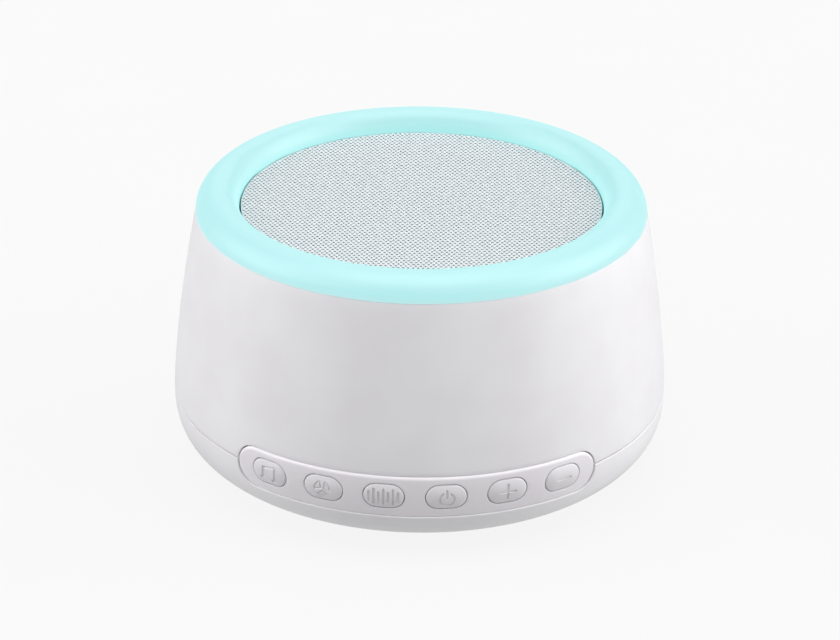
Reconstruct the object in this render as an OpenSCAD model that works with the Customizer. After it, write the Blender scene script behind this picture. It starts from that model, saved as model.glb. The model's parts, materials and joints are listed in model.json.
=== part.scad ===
// White noise sound machine with a glowing ring and six front buttons.
// Millimetres. +Z is up, the front faces -Y, and the feet stand on z = 0.

/* [Body] */
// Outside radius at the widest level
belly_r = 59; // [56:0.5:64]
// Height of the widest level
belly_z = 16.5; // [16:0.1:17]
// How far the flat underside lies inside the widest level
base_run = 19.4; // [17:0.2:21]
// Squareness of the rounded base, 2 is an ellipse
base_power = 2.5; // [2.2:0.1:3]
// How far the top edge draws in from the widest level
side_draw = 5.9; // [5:0.1:6.4]
// Height of the casing's top edge
rim_z = 62.3; // [60:0.1:68]
// How late the side draws in, 1 is a straight cone
side_power = 1.5; // [1.2:0.1:2]
// Wall of both casings
wall = 2.4; // [2:0.1:2.6]
// Height of the parting line above the widest level
part_rise = 0.7; // [0.4:0.1:1.2]
// Height of the shadow line under the parting line
seam_w = 0.3; // [0.2:0.05:0.5]
// Depth of that shadow line
seam_d = 0.8; // [0.4:0.1:1.2]
// Wall of the tongue inside the parting line
tongue_t = 1.2; // [0.8:0.1:1.6]
// How far the tongue stands up into the upper casing
tongue_h = 2.5; // [1.5:0.5:4]

/* [Feet and casing screws] */
// Height that the feet lift the casing
foot_h = 1.5; // [1:0.1:2]
// Radius of a rubber foot
foot_r = 5; // [4:0.5:5.5]
// Depth of the recess that holds a foot
foot_sink = 0.6; // [0.4:0.1:0.8]
// Radius of a casing screw's shank
screw_r = 1.4; // [1.2:0.1:1.6]
// Radius of a casing screw's head
screw_head_r = 2.6; // [2.4:0.1:2.8]
// Length of a casing screw's shank
screw_len = 20; // [16:1:24]
// Height at which the screw pillars of the two casings meet
pillar_z = 14; // [12:0.5:16]

/* [Light ring] */
// Width of the ring's outer slope, from its edge to its crest
ring_out_w = 6.1; // [5.6:0.1:6.6]
// Width of the ring's inner slope
ring_in_w = 4.4; // [4:0.1:4.8]
// Height of the crest above the casing's top edge
ring_rise = 5.4; // [4.5:0.1:7]
// Wall of the translucent ring
ring_wall = 1.8; // [1.2:0.1:2.2]
// Number of snap hooks under the ring
hook_count = 4; // [3:1:6]

/* [Grille] */
// Depth of the perforated sheet below the crest
mesh_drop = 4.8; // [4.5:0.1:5.4]
// Gap between the sheet's edge and the ring
mesh_gap = 0.3; // [0.2:0.05:0.5]
// Thickness of the perforated sheet
mesh_t = 0.6; // [0.4:0.1:0.8]
// Distance between holes, coarser than the real perforation
mesh_pitch = 6.4; // [6:0.2:9]
// Width of a hole, flat to flat
hole_w = 3.8; // [2:0.2:4.6]
// Thickness of the cloth under the sheet
cloth_t = 0.3; // [0.2:0.05:0.4]
// Number of spokes in the grille frame
spoke_count = 6; // [3:1:8]
// Width of a spoke
spoke_w = 2; // [1.5:0.5:3]

/* [Control panel] */
// Height of the panel's middle above the widest level
panel_rise = 0.1; // [0:0.1:0.6]
// Height of the panel
panel_h = 10.4; // [9.8:0.2:11]
// Angle that the panel spans, end to end
panel_span = 89; // [87:1:92]
// Gap between the panel and the casings
panel_gap = 0.25; // [0.15:0.05:0.4]
// Rounding of the panel's rim
panel_edge = 1; // [0.6:0.1:1.4]
// How much the panel's face bulges
panel_crown = 0.3; // [0.1:0.05:0.4]
// Depth of the panel's seat behind the widest level
seat_depth = 2.2; // [2:0.1:2.4]
// Width of the flange behind the casings
flange_lip = 1.2; // [0.8:0.1:1.4]
// Thickness of that flange
flange_t = 1.2; // [0.8:0.1:1.4]

/* [Buttons] */
// Width of a button
key_w = 9.3; // [8.4:0.1:10]
// Height of a button
key_h = 6.2; // [5.8:0.1:6.8]
// Height of the buttons' middle above the panel's middle
key_rise = 0.2; // [0:0.1:0.4]
// Angle from one button to the next
key_pitch = 13.8; // [13:0.1:14.2]
// Gap between a button and the panel
key_gap = 0.3; // [0.2:0.05:0.4]
// How far a button's middle stands out of the widest level
key_proud = 0.35; // [0.2:0.05:0.6]
// How much a button's face bulges
key_crown = 0.2; // [0.1:0.05:0.3]
// Rounding of a button's rim
key_edge = 0.8; // [0.4:0.1:1]
// How far a button travels
key_travel = 0.5; // [0.3:0.05:0.6]
// Depth of the engraved symbols
symbol_d = 0.3; // [0.2:0.05:0.4]
// Width of a symbol's strokes
stroke = 0.5; // [0.4:0.05:0.6]

/* [Switches] */
// Width and height of a switch
switch_w = 4.6; // [4:0.1:5]
// Depth of a switch
switch_t = 3.5; // [3:0.1:3.8]
// Radius of a switch's plunger
plunger_r = 1.2; // [0.9:0.1:1.4]
// Thickness of the curved switch board
switch_board_t = 1; // [0.8:0.1:1.2]
// Thickness of the bracket behind the board
bracket_t = 1.7; // [1.4:0.1:2]

/* [Speaker] */
// Distance from the ring's inside to the basket, for the grille frame
basket_gap = 12.8; // [12.4:0.1:13.6]
// Width of the speaker's flange around the basket
flange_w = 3.2; // [2.8:0.1:3.4]
// Thickness of the flange
speaker_flange_t = 1; // [0.8:0.1:1.2]
// Depth of the basket below the deck
basket_depth = 18.5; // [18:0.5:22]
// Distance from the basket's outside in to the magnet
magnet_gap = 9.8; // [8:0.2:12]
// Thickness of the magnet
magnet_t = 6; // [5:0.5:8]
// Radius of the voice coil's former
coil_r = 9.8; // [9:0.1:10.2]
// How far the cone travels each way
cone_travel = 1.2; // [0.8:0.1:1.4]

/* [Lights and main board] */
// Number of LEDs under the ring
led_count = 12; // [6:3:18]
// Width of the LED board's band
led_band = 4.6; // [4.2:0.1:4.8]
// How far the main board reaches past the speaker's cable
board_rim = 0.6; // [0.4:0.1:1]
// Width of the main board
board_d = 38; // [36:1:39]
// Thickness of the main board
board_t = 1.6; // [1:0.2:2]
// Height of the posts under the main board
post_h = 3.6; // [3:0.2:5]
// Inside size of the power socket, wide
socket_w = 8.3; // [8:0.1:9]
// Inside size of the power socket, high
socket_h = 2.6; // [2.4:0.1:2.8]

/* [Hidden] */
$fn = 96;

// Colours as photographed, with plain ones for what is inside
shell_white = "#f0eff1";
panel_white = "#e6e4e7";
glow = "#a9f3f4";
mesh_grey = "#cfd8dc";
dark = "#2a2c30";
steel = "#b9bcc2";
board_green = "#2f6b46";

// Small clearances, shared by what fits together
touch = 0.1; // between curved faces that seat on each other
thread_fit = 0.05; // around a screw's thread
slip_fit = 0.3; // around a screw's shank where it only passes
over = 1; // how far a cutting tool runs past what it cuts

// Outline of the casing, from the base's flat to the top edge
base_r = belly_r - base_run;
rim_r = belly_r - side_draw;
base_drop = belly_z - foot_h;
side_rise = rim_z - belly_z;
part_z = belly_z + part_rise;
panel_z = belly_z + panel_rise;
base_steps = 15;
side_steps = 20;

function base_point(angle, inset) =
    let (
        across = pow(cos(angle), 2 / base_power),
        down = pow(sin(angle), 2 / base_power),
        lean = [pow(across, base_power - 1) / base_run, -pow(down, base_power - 1) / base_drop],
        unit = lean / norm(lean)
    )
    [base_r + base_run * across, belly_z - base_drop * down] - inset * unit;

function side_point(share, inset) =
    let (
        slope = side_draw * side_power * pow(share, side_power - 1) / side_rise,
        unit = [1, slope] / norm([1, slope])
    )
    [belly_r - side_draw * pow(share, side_power), belly_z + side_rise * share] - inset * unit;

// The outline runs a little past the top edge, where it is cut level
function casing_outline(inset) = concat(
    [[0, foot_h + inset]],
    [for (i = [base_steps : -1 : 0]) base_point(90 * i / base_steps, inset)],
    [for (i = [1 : side_steps + 1]) side_point(i / side_steps, inset)],
    [[0, side_point((side_steps + 1) / side_steps, inset)[1]]]
);

// Outside radius of the casing at a height in the rounded base
function base_radius(z) =
    base_r + base_run * pow(1 - pow((belly_z - z) / base_drop, base_power), 1 / base_power);

module skin(outer, inner) {
    difference() {
        polygon(casing_outline(outer));
        polygon(casing_outline(inner));
    }
}

module level_band(low, high) {
    translate([0, low])
        square([belly_r + over, high - low]);
}

// Places a shape on the front: x across, y up, z outward from the body's axis
module on_front(angle, height) {
    rotate([0, 0, angle])
        translate([0, 0, height])
            rotate([90, 0, 0])
                children();
}

// Repeats a shape around the body's axis
module around(count, radius, start = 0) {
    for (i = [0 : count - 1])
        rotate([0, 0, start + 360 * i / count])
            translate([radius, 0, 0])
                children();
}

// A screw that points down, with its head standing on z = 0
module screw(shank_r, length, head_r, head_h) {
    translate([0, 0, -length])
        cylinder(r = shank_r, h = length + head_h / 2);
    difference() {
        cylinder(r = head_r, h = head_h);
        for (turn = [0, 90])
            rotate([0, 0, turn])
                translate([-head_r * 0.6, -head_r * 0.12, head_h / 2])
                    cube([head_r * 1.2, head_r * 0.24, head_h]);
    }
}

// How far a bulging face with a rounded rim lies below its middle
function face_drop(place, half, crown, edge) =
    let (past = max(0, abs(place) - half + edge))
    crown * pow(place / half, 2) + edge - sqrt(max(0, edge * edge - past * past));

face_steps = 24;

function face_points(half, top, crown, edge, from, to) = [
    for (i = [0 : face_steps])
        let (turn = from + (to - from) * i / face_steps, place = half * sin(turn))
        [place, top - face_drop(place, half, crown, edge)]
];

// ---- Control panel
seat_r = belly_r - seat_depth;
panel_back = seat_r - flange_t;
panel_end = panel_span / 2 - asin(panel_h / 2 / belly_r);
sector_start = 270 - panel_end;

// The straight part of the panel's outline between two radii, bent round the body
module panel_sector(inner_r, outer_r, half) {
    rotate([0, 0, sector_start])
        rotate_extrude(angle = 2 * panel_end)
            translate([inner_r, panel_z - half])
                square([outer_r - inner_r, 2 * half]);
}

// An opening of the panel's outline, wider all round by grow
module panel_opening(inner_r, outer_r, grow) {
    half = panel_h / 2 + grow;
    panel_sector(inner_r, outer_r, half);
    for (side = [-1, 1])
        on_front(side * panel_end, panel_z)
            translate([0, 0, inner_r + touch / 2])
                cylinder(r = half, h = outer_r - inner_r - touch);
}

// A panel-shaped block, with ends that stop where the straight part does
module panel_block(inner_r, outer_r, grow) {
    half = panel_h / 2 + grow;
    panel_sector(inner_r, outer_r, half);
    for (side = [-1, 1])
        on_front(side * panel_end, panel_z)
            rotate([0, 0, -90 * side])
                rotate_extrude(angle = 180)
                    translate([0, inner_r])
                        square([half, outer_r - inner_r]);
}

// The same block with the bulging face and rounded rim that show
module panel_face_block(inner_r, half) {
    rotate([0, 0, sector_start])
        rotate_extrude(angle = 2 * panel_end)
            translate([0, panel_z])
                polygon(concat(
                    [[inner_r, half], [inner_r, -half]],
                    [for (p = face_points(half, belly_r, panel_crown, panel_edge, -90, 90)) [p[1], p[0]]]
                ));
    for (side = [-1, 1])
        on_front(side * panel_end, panel_z)
            rotate([0, 0, -90 * side])
                rotate_extrude(angle = 180)
                    polygon(concat(
                        [[0, inner_r]],
                        face_points(half, belly_r, panel_crown, panel_edge, 0, 90),
                        [[half, inner_r]]
                    ));
}

// ---- Buttons
key_count = 6;
key_middle = panel_z + key_rise;
key_top = belly_r + key_proud;
key_flange = 0.8;
key_flange_top = panel_back - 2 * key_gap;
key_flange_back = key_flange_top - key_flange;
stem_r = plunger_r + 0.3;
stem_len = 1.8;
plunger_top = key_flange_back - stem_len;
switch_face = plunger_top - key_travel - touch * 3;
switch_back = switch_face - switch_t;
plunger_deep = 2;
plunger_back = switch_face - plunger_deep;

function key_angle(i) = (i - (key_count - 1) / 2) * key_pitch;

module pill(width, height) {
    square([width - height, height], center = true);
    for (side = [-1, 1])
        translate([side * (width - height) / 2, 0])
            circle(d = height);
}

// A pill-shaped cap with a bulging face
module pill_cap(width, height, back, top) {
    half = height / 2;
    reach = (width - height) / 2;
    translate([-reach, 0, 0])
        rotate([90, 0, 90])
            linear_extrude(height = 2 * reach)
                polygon(concat(
                    [[half, back], [-half, back]],
                    face_points(half, top, key_crown, key_edge, -90, 90)
                ));
    for (side = [-1, 1])
        translate([side * reach, 0, 0])
            rotate([0, 0, -90 * side])
                rotate_extrude(angle = 180)
                    polygon(concat(
                        [[0, back]],
                        face_points(half, top, key_crown, key_edge, 0, 90),
                        [[half, back]]
                    ));
}

// ---- Symbols, all about half a button high
symbol_h = 3.4;

module ring_2d(radius) {
    difference() {
        circle(r = radius);
        circle(r = radius - stroke);
    }
}

module music_symbol() {
    stem_gap = 2.2;
    for (side = [-1, 1]) {
        translate([side * stem_gap / 2 - 0.35, -symbol_h / 2 + 0.45])
            circle(r = 0.6);
        translate([side * stem_gap / 2 - stroke / 4, -symbol_h / 2 + 0.45])
            square([stroke, symbol_h - 0.5]);
    }
    translate([-(stem_gap + stroke / 2) / 2, symbol_h / 2 - 0.6])
        square([stem_gap + stroke, stroke]);
}

module fan_symbol() {
    bend = symbol_h * 0.36;
    ring_2d(symbol_h / 2 + 0.2);
    for (turn = [90, 210, 330])
        rotate([0, 0, turn])
            intersection() {
                translate([0, bend])
                    ring_2d(bend + stroke / 2);
                circle(r = symbol_h / 2);
                translate([0, -stroke / 2])
                    square([symbol_h, bend + stroke / 2]);
            }
}

module noise_symbol() {
    bars = 7;
    pitch = 1.1;
    for (i = [0 : bars - 1]) {
        tall = i % 2 == 0 ? symbol_h * 0.8 : symbol_h * 1.15;
        translate([(i - (bars - 1) / 2) * pitch, 0])
            square([stroke * 0.8, tall], center = true);
    }
}

module power_symbol() {
    difference() {
        ring_2d(symbol_h / 2);
        translate([-stroke * 1.2, 0])
            square([stroke * 2.4, symbol_h]);
    }
    translate([-stroke / 2, 0])
        square([stroke, symbol_h / 2 + 0.1]);
}

module minus_symbol() {
    square([symbol_h, stroke], center = true);
}

module plus_symbol() {
    minus_symbol();
    square([stroke, symbol_h], center = true);
}

module symbol(i) {
    if (i == 0) music_symbol();
    if (i == 1) fan_symbol();
    if (i == 2) noise_symbol();
    if (i == 3) power_symbol();
    if (i == 4) plus_symbol();
    if (i == 5) minus_symbol();
}

module button(i) {
    color(panel_white)
        on_front(key_angle(i), key_middle)
            difference() {
                union() {
                    pill_cap(key_w, key_h, key_flange_top - key_flange / 2, key_top);
                    translate([0, 0, key_flange_back])
                        linear_extrude(height = key_flange)
                            pill(key_w + 2 * key_flange, key_h + 2 * key_flange);
                    translate([0, 0, plunger_top])
                        cylinder(r = stem_r, h = stem_len + key_flange / 2);
                }
                translate([0, 0, key_top - symbol_d])
                    linear_extrude(height = symbol_d + over)
                        symbol(i);
            }
}

module plunger(i) {
    color(dark)
        on_front(key_angle(i), key_middle)
            translate([0, 0, plunger_back])
                cylinder(r = plunger_r, h = plunger_top - plunger_back);
}

// ---- Feet, screws and pillars that join the casings
foot_circle = base_r - foot_r - 0.6;
foot_count = 4;
foot_start = 45;
floor_z = foot_h + wall;
recess_z = foot_h + foot_sink;
head_h = 1.8;
screw_head_z = recess_z + head_h + 0.4;
lower_pillar_r = screw_head_r + 1.6;
upper_pillar_r = screw_r + 2.2;

// ---- Radii that follow from the casing's top edge inward
crest_r = rim_r - ring_out_w;
ring_in_r = crest_r - ring_in_w;
basket_r = ring_in_r - basket_gap;
speaker_r = basket_r + flange_w;
magnet_r = basket_r - magnet_gap;

// ---- Deck, which carries the speaker, the lights and the grille
deck_t = 2;
deck_z = rim_z - 6.3;
deck_hole_r = basket_r + 0.4;
terminal_z = deck_z - 7;
terminal_out = basket_r + 2.6;
ear_circle = speaker_r + 2.5;
ear_r = 3.5;
small_screw_r = 1.1;
small_head_r = 2.2;
small_head_h = 1.5;
speaker_screw_len = 8;
led_in_r = ring_in_r + ring_wall + 0.8;
led_out_r = led_in_r + led_band;
led_circle = (led_in_r + led_out_r) / 2;
led_board_t = 1;
led_screw_r = 0.8;
led_screw_len = 5;
led_screw_count = 3;
led_screw_start = 60;
cable_w = 3;
cable_t = 0.9;
hook_angle = 8;
hook_gap = 0.3;
hook_start = 30;
peg_r = 1;
peg_count = 4;
peg_start = 22.5;
frame_foot_in = ear_circle + ear_r + slip_fit;

// ---- Grille
mesh_r = ring_in_r - mesh_gap;
mesh_z = rim_z + ring_rise - mesh_drop;
mesh_skirt = 2;
frame_top = mesh_z - mesh_t - cloth_t - touch;
frame_r = mesh_r - mesh_t - touch;
frame_wall = 1.4;
frame_foot_t = 1.2;
peg_circle = (frame_foot_in + frame_r) / 2;

// ---- Switch board and its bracket
board_out_r = switch_back - touch;
board_in_r = board_out_r - switch_board_t;
bracket_out_r = board_in_r - touch;
bracket_in_r = bracket_out_r - bracket_t;
switch_board_half = abs(key_angle(0)) + 6;
switch_board_h = 9;
bracket_half = 55;
lug_angle = bracket_half - 5;
bracket_h = 11;
bracket_z = panel_z - bracket_h / 2;
lug_circle = bracket_in_r - small_head_r - 0.4;
lug_r = 3.5;
lug_t = 2;
bracket_screw_len = 6;

// ---- Main board
board_z = floor_z + post_h;
board_top = board_z + board_t;
board_w = 2 * (terminal_out + board_rim);
post_x = board_w / 2 - 4.5;
post_y = foot_circle * sin(foot_start) - lower_pillar_r - 4.8;
post_r = 2.6;
board_screw_len = 5;
tail_w = 16;
socket_wall = 0.35;
socket_out_w = socket_w + 2 * socket_wall;
socket_out_h = socket_h + 2 * socket_wall;
socket_z = board_top + socket_out_h / 2;
socket_mouth = base_radius(socket_z) - 0.9;
socket_len = 9;
tail_end = socket_mouth - 5.8;

// Places a shape on the back: x across, y up, z outward
module on_back(height) {
    on_front(180, height)
        children();
}

module ring_sector(inner_r, outer_r, low, high, half, middle) {
    rotate([0, 0, middle - half])
        rotate_extrude(angle = 2 * half)
            translate([inner_r, low])
                square([outer_r - inner_r, high - low]);
}

module upper_shell() {
    pillar_h = deck_z - deck_t / 2 - pillar_z;
    boss_z = deck_z - deck_t;
    color(shell_white)
        difference() {
            union() {
                rotate_extrude() {
                    intersection() {
                        skin(0, wall);
                        level_band(part_z, rim_z);
                    }
                    intersection() {
                        polygon(casing_outline(wall / 2));
                        translate([deck_hole_r, deck_z - deck_t])
                            square([belly_r, deck_t]);
                    }
                }
                around(foot_count, foot_circle, foot_start)
                    translate([0, 0, pillar_z])
                        cylinder(r = upper_pillar_r, h = pillar_h);
                around(4, ear_circle)
                    translate([0, 0, boss_z - speaker_screw_len + deck_t])
                        cylinder(r = small_screw_r + 1.5, h = speaker_screw_len - deck_t / 2);
                around(led_screw_count, led_circle, led_screw_start)
                    translate([0, 0, boss_z - led_screw_len + deck_t])
                        cylinder(r = led_screw_r + 1.3, h = led_screw_len - deck_t / 2);
            }
            panel_opening(seat_r - over, belly_r + over, panel_gap);
            panel_opening(belly_r - wall - 4, seat_r, flange_lip + panel_gap);
            around(foot_count, foot_circle, foot_start)
                translate([0, 0, pillar_z - over])
                    cylinder(r = screw_r + thread_fit, h = screw_len + over);
            around(4, ear_circle)
                translate([0, 0, deck_z - speaker_screw_len + 0.6])
                    cylinder(r = small_screw_r + thread_fit, h = speaker_screw_len + over);
            around(led_screw_count, led_circle, led_screw_start)
                translate([0, 0, deck_z - led_screw_len + 0.6])
                    cylinder(r = led_screw_r + thread_fit, h = led_screw_len + over);
            around(peg_count, peg_circle, peg_start)
                translate([0, 0, deck_z - deck_t - over])
                    cylinder(r = peg_r + touch, h = deck_t + 2 * over);
            for (i = [0 : hook_count - 1])
                ring_sector(ring_in_r + touch, ring_in_r + ring_wall + slip_fit, deck_z - deck_t - over,
                    deck_z + over, hook_angle / 2 + hook_gap, hook_start + 360 * i / hook_count);
            translate([led_circle - cable_t / 2 - touch, -cable_w / 2 - touch, deck_z - deck_t - over])
                cube([cable_t + 2 * touch, cable_w + 2 * touch, deck_t + 2 * over]);
        }
}

module lower_shell() {
    color(shell_white)
        difference() {
            union() {
                rotate_extrude() {
                    intersection() {
                        skin(0, wall);
                        level_band(0, part_z - seam_w);
                    }
                    intersection() {
                        skin(seam_d, wall);
                        level_band(belly_z - over, part_z);
                    }
                    intersection() {
                        skin(wall / 2, wall + touch + tongue_t);
                        level_band(part_z - 4, part_z - 1);
                    }
                    intersection() {
                        skin(wall + touch, wall + touch + tongue_t);
                        level_band(part_z - 2, part_z + tongue_h);
                    }
                }
                around(foot_count, foot_circle, foot_start)
                    translate([0, 0, floor_z - wall / 2])
                        cylinder(r = lower_pillar_r, h = pillar_z - touch - floor_z + wall / 2);
                for (x = [-1, 1], y = [-1, 1])
                    translate([x * post_x, y * post_y, floor_z - wall / 2])
                        cylinder(r = post_r, h = post_h + wall / 2);
                for (side = [-1, 1])
                    rotate([0, 0, 270 + side * lug_angle])
                        translate([lug_circle, 0, floor_z - wall / 2])
                            cylinder(r = lug_r - 0.3, h = bracket_z - floor_z + wall / 2);
            }
            panel_opening(seat_r - over, belly_r + over, panel_gap);
            panel_opening(belly_r - wall - 4, seat_r, flange_lip + panel_gap);
            around(foot_count, foot_circle, foot_start) {
                translate([0, 0, foot_h - over])
                    cylinder(r = foot_r + touch, h = foot_sink + over);
                translate([0, 0, foot_h])
                    cylinder(r = screw_head_r + slip_fit, h = screw_head_z - foot_h);
                cylinder(r = screw_r + slip_fit, h = pillar_z + over);
            }
            for (x = [-1, 1], y = [-1, 1])
                translate([x * post_x, y * post_y, board_z - board_screw_len + 0.6])
                    cylinder(r = small_screw_r + thread_fit, h = board_screw_len + over);
            for (side = [-1, 1])
                rotate([0, 0, 270 + side * lug_angle])
                    translate([lug_circle, 0, bracket_z - bracket_screw_len])
                        cylinder(r = small_screw_r + thread_fit, h = bracket_screw_len + over);
            on_back(socket_z)
                translate([0, 0, socket_mouth - socket_len])
                    linear_extrude(height = socket_len + 3 * over)
                        pill(socket_out_w + 2 * slip_fit, socket_out_h + 2 * slip_fit);
        }
}

module control_panel() {
    color(panel_white)
        difference() {
            union() {
                panel_face_block(panel_back, panel_h / 2);
                panel_block(panel_back, seat_r - touch, flange_lip);
            }
            for (i = [0 : key_count - 1])
                on_front(key_angle(i), key_middle)
                    translate([0, 0, panel_back - over])
                        linear_extrude(height = seat_depth + flange_t + 2 * over)
                            pill(key_w + 2 * key_gap, key_h + 2 * key_gap);
        }
}

// The ring's section is two quarter ellipses that meet at the crest
function ring_curve(inset) = [
    for (turn = [0 : 6 : 180])
        let (reach = turn < 90 ? rim_r - crest_r : crest_r - ring_in_r)
        [crest_r + (reach - inset) * cos(turn), rim_z + (ring_rise - inset) * sin(turn)]
];

module light_ring() {
    catch_z = deck_z - deck_t - touch;
    hook_low = catch_z - 1.2;
    hook_in = ring_in_r + slip_fit;
    hook_out = ring_in_r + ring_wall - touch;
    lip_out = rim_r - wall - 0.4;
    lip_t = 1.3;
    foot_t = 1;
    color(glow) {
        rotate_extrude() {
            difference() {
                polygon(ring_curve(0));
                polygon(ring_curve(ring_wall));
            }
            translate([ring_in_r, deck_z + touch])
                square([ring_wall, rim_z - deck_z]);
            translate([lip_out - lip_t, rim_z])
                square([rim_r - lip_out + lip_t - ring_wall / 2, foot_t]);
            translate([lip_out - lip_t, rim_z - 1.5])
                square([lip_t, 2]);
        }
        for (i = [0 : hook_count - 1])
            rotate([0, 0, hook_start + 360 * i / hook_count - hook_angle / 2])
                rotate_extrude(angle = hook_angle)
                    polygon([
                        [hook_in, hook_low], [hook_out + 0.5, hook_low],
                        [hook_out + 0.9, hook_low + 0.5], [hook_out + 0.9, catch_z],
                        [hook_out, catch_z], [hook_out, deck_z + 1], [hook_in, deck_z + 1]
                    ]);
    }
}

// Hole centres of the perforated sheet, on a grid of triangles
row_step = mesh_pitch * sqrt(3) / 2;
hole_rows = floor(mesh_r / row_step);
holes_per_row = ceil(mesh_r / mesh_pitch) + 1;
hole_centres = [
    for (row = [-hole_rows : hole_rows], i = [-holes_per_row : holes_per_row])
        let (centre = [(i + (abs(row) % 2) / 2) * mesh_pitch, row * row_step])
        if (norm(centre) < mesh_r - hole_w - 1) centre
];
hole_r = hole_w / sqrt(3);

module grille_mesh() {
    bend = [mesh_r - mesh_t, mesh_z - mesh_t];
    rim = [for (turn = [0 : 5 : 355]) (mesh_r - mesh_t) * [cos(turn), sin(turn)]];
    holes = [for (centre = hole_centres, turn = [30 : 60 : 330]) centre + hole_r * [cos(turn), sin(turn)]];
    hole_loops = [for (i = [0 : len(hole_centres) - 1]) [for (k = [0 : 5]) len(rim) + 6 * i + k]];
    color(mesh_grey) {
        translate([0, 0, mesh_z - mesh_t])
            linear_extrude(height = mesh_t)
                polygon(concat(rim, holes), concat([[for (i = [0 : len(rim) - 1]) i]], hole_loops));
        rotate_extrude()
            polygon(concat(
                [[mesh_r - 2 * mesh_t, mesh_z - mesh_t], [mesh_r - 2 * mesh_t, mesh_z]],
                [for (turn = [90 : -15 : 0]) bend + mesh_t * [cos(turn), sin(turn)]],
                [[mesh_r, mesh_z - mesh_skirt], [mesh_r - mesh_t, mesh_z - mesh_skirt], bend]
            ));
    }
}

module dust_cloth() {
    color(dark)
        translate([0, 0, frame_top + touch / 2])
            cylinder(r = frame_r, h = cloth_t);
}

module grille_frame() {
    spoke_z = frame_top - 1.6;
    color(dark)
        union() {
            rotate_extrude() {
                translate([frame_r - frame_wall, deck_z])
                    square([frame_wall, frame_top - deck_z]);
                translate([frame_foot_in, deck_z])
                    square([frame_r - frame_foot_in, frame_foot_t]);
                translate([frame_r / 2 - spoke_w / 2, spoke_z])
                    square([spoke_w, frame_top - spoke_z]);
            }
            for (i = [0 : spoke_count - 1])
                rotate([0, 0, 360 * i / spoke_count])
                    translate([0, -spoke_w / 2, spoke_z])
                        cube([frame_r - frame_wall / 2, spoke_w, frame_top - spoke_z]);
            around(peg_count, peg_circle, peg_start)
                translate([0, 0, deck_z - deck_t])
                    cylinder(r = peg_r, h = deck_t + frame_foot_t / 2);
        }
}

module feet() {
    color(dark)
        around(foot_count, foot_circle, foot_start)
            rotate_extrude()
                polygon([
                    [0, 0], [foot_r - 0.5, 0], [foot_r, 0.5],
                    [foot_r, recess_z], [0, recess_z]
                ]);
}

module base_screws() {
    color(steel)
        around(foot_count, foot_circle, foot_start)
            translate([0, 0, screw_head_z])
                mirror([0, 0, 1])
                    screw(screw_r, screw_len, screw_head_r, head_h);
}

module music_button() {
    button(0);
}

module fan_button() {
    button(1);
}

module noise_button() {
    button(2);
}

module power_button() {
    button(3);
}

module volume_up_button() {
    button(4);
}

module volume_down_button() {
    button(5);
}

module music_plunger() {
    plunger(0);
}

module fan_plunger() {
    plunger(1);
}

module noise_plunger() {
    plunger(2);
}

module power_plunger() {
    plunger(3);
}

module volume_up_plunger() {
    plunger(4);
}

module volume_down_plunger() {
    plunger(5);
}

module switch_bodies() {
    color(steel)
        for (i = [0 : key_count - 1])
            on_front(key_angle(i), key_middle)
                difference() {
                    translate([-switch_w / 2, -switch_w / 2, switch_back])
                        cube([switch_w, switch_w, switch_t]);
                    translate([0, 0, plunger_back - key_travel - touch])
                        cylinder(r = plunger_r + thread_fit, h = switch_t + over);
                }
}

module switch_board() {
    color(board_green)
        ring_sector(board_in_r, board_out_r, key_middle - switch_board_h / 2,
            key_middle + switch_board_h / 2, switch_board_half, 270);
}

module switch_bracket() {
    color(dark)
        difference() {
            union() {
                ring_sector(bracket_in_r, bracket_out_r, bracket_z, bracket_z + bracket_h,
                    bracket_half, 270);
                for (side = [-1, 1])
                    rotate([0, 0, 270 + side * lug_angle])
                        translate([lug_circle, 0, bracket_z])
                            cylinder(r = lug_r, h = lug_t);
            }
            for (side = [-1, 1])
                rotate([0, 0, 270 + side * lug_angle])
                    translate([lug_circle, 0, bracket_z - over])
                        cylinder(r = small_screw_r + slip_fit, h = lug_t + 2 * over);
        }
}

module bracket_screws() {
    color(steel)
        for (side = [-1, 1])
            rotate([0, 0, 270 + side * lug_angle])
                translate([lug_circle, 0, bracket_z + lug_t])
                    screw(small_screw_r, bracket_screw_len, small_head_r, small_head_h);
}

// ---- Speaker, from its flange on the deck down to its magnet
flange_top = deck_z + speaker_flange_t;
basket_low = deck_z - basket_depth;
sheet = 1;
plate_t = 3.5;
pole_r = coil_r - 1;
gap_r = coil_r + 0.8;
plate_r = magnet_r - 1;
ledge_z = basket_low + 4.5;
ledge_r = plate_r + 2;
coil_low = basket_low - plate_t - cone_travel / 2;
cone_low = ledge_z + 2 + cone_travel;
cone_r = basket_r - 4.2;
cone_t = 0.6;
cone_slope = (flange_top - cone_low - 2 * cone_t - touch) / (cone_r - coil_r);
roll_r = (basket_r - cone_r) / 2 - 0.2;

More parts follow.
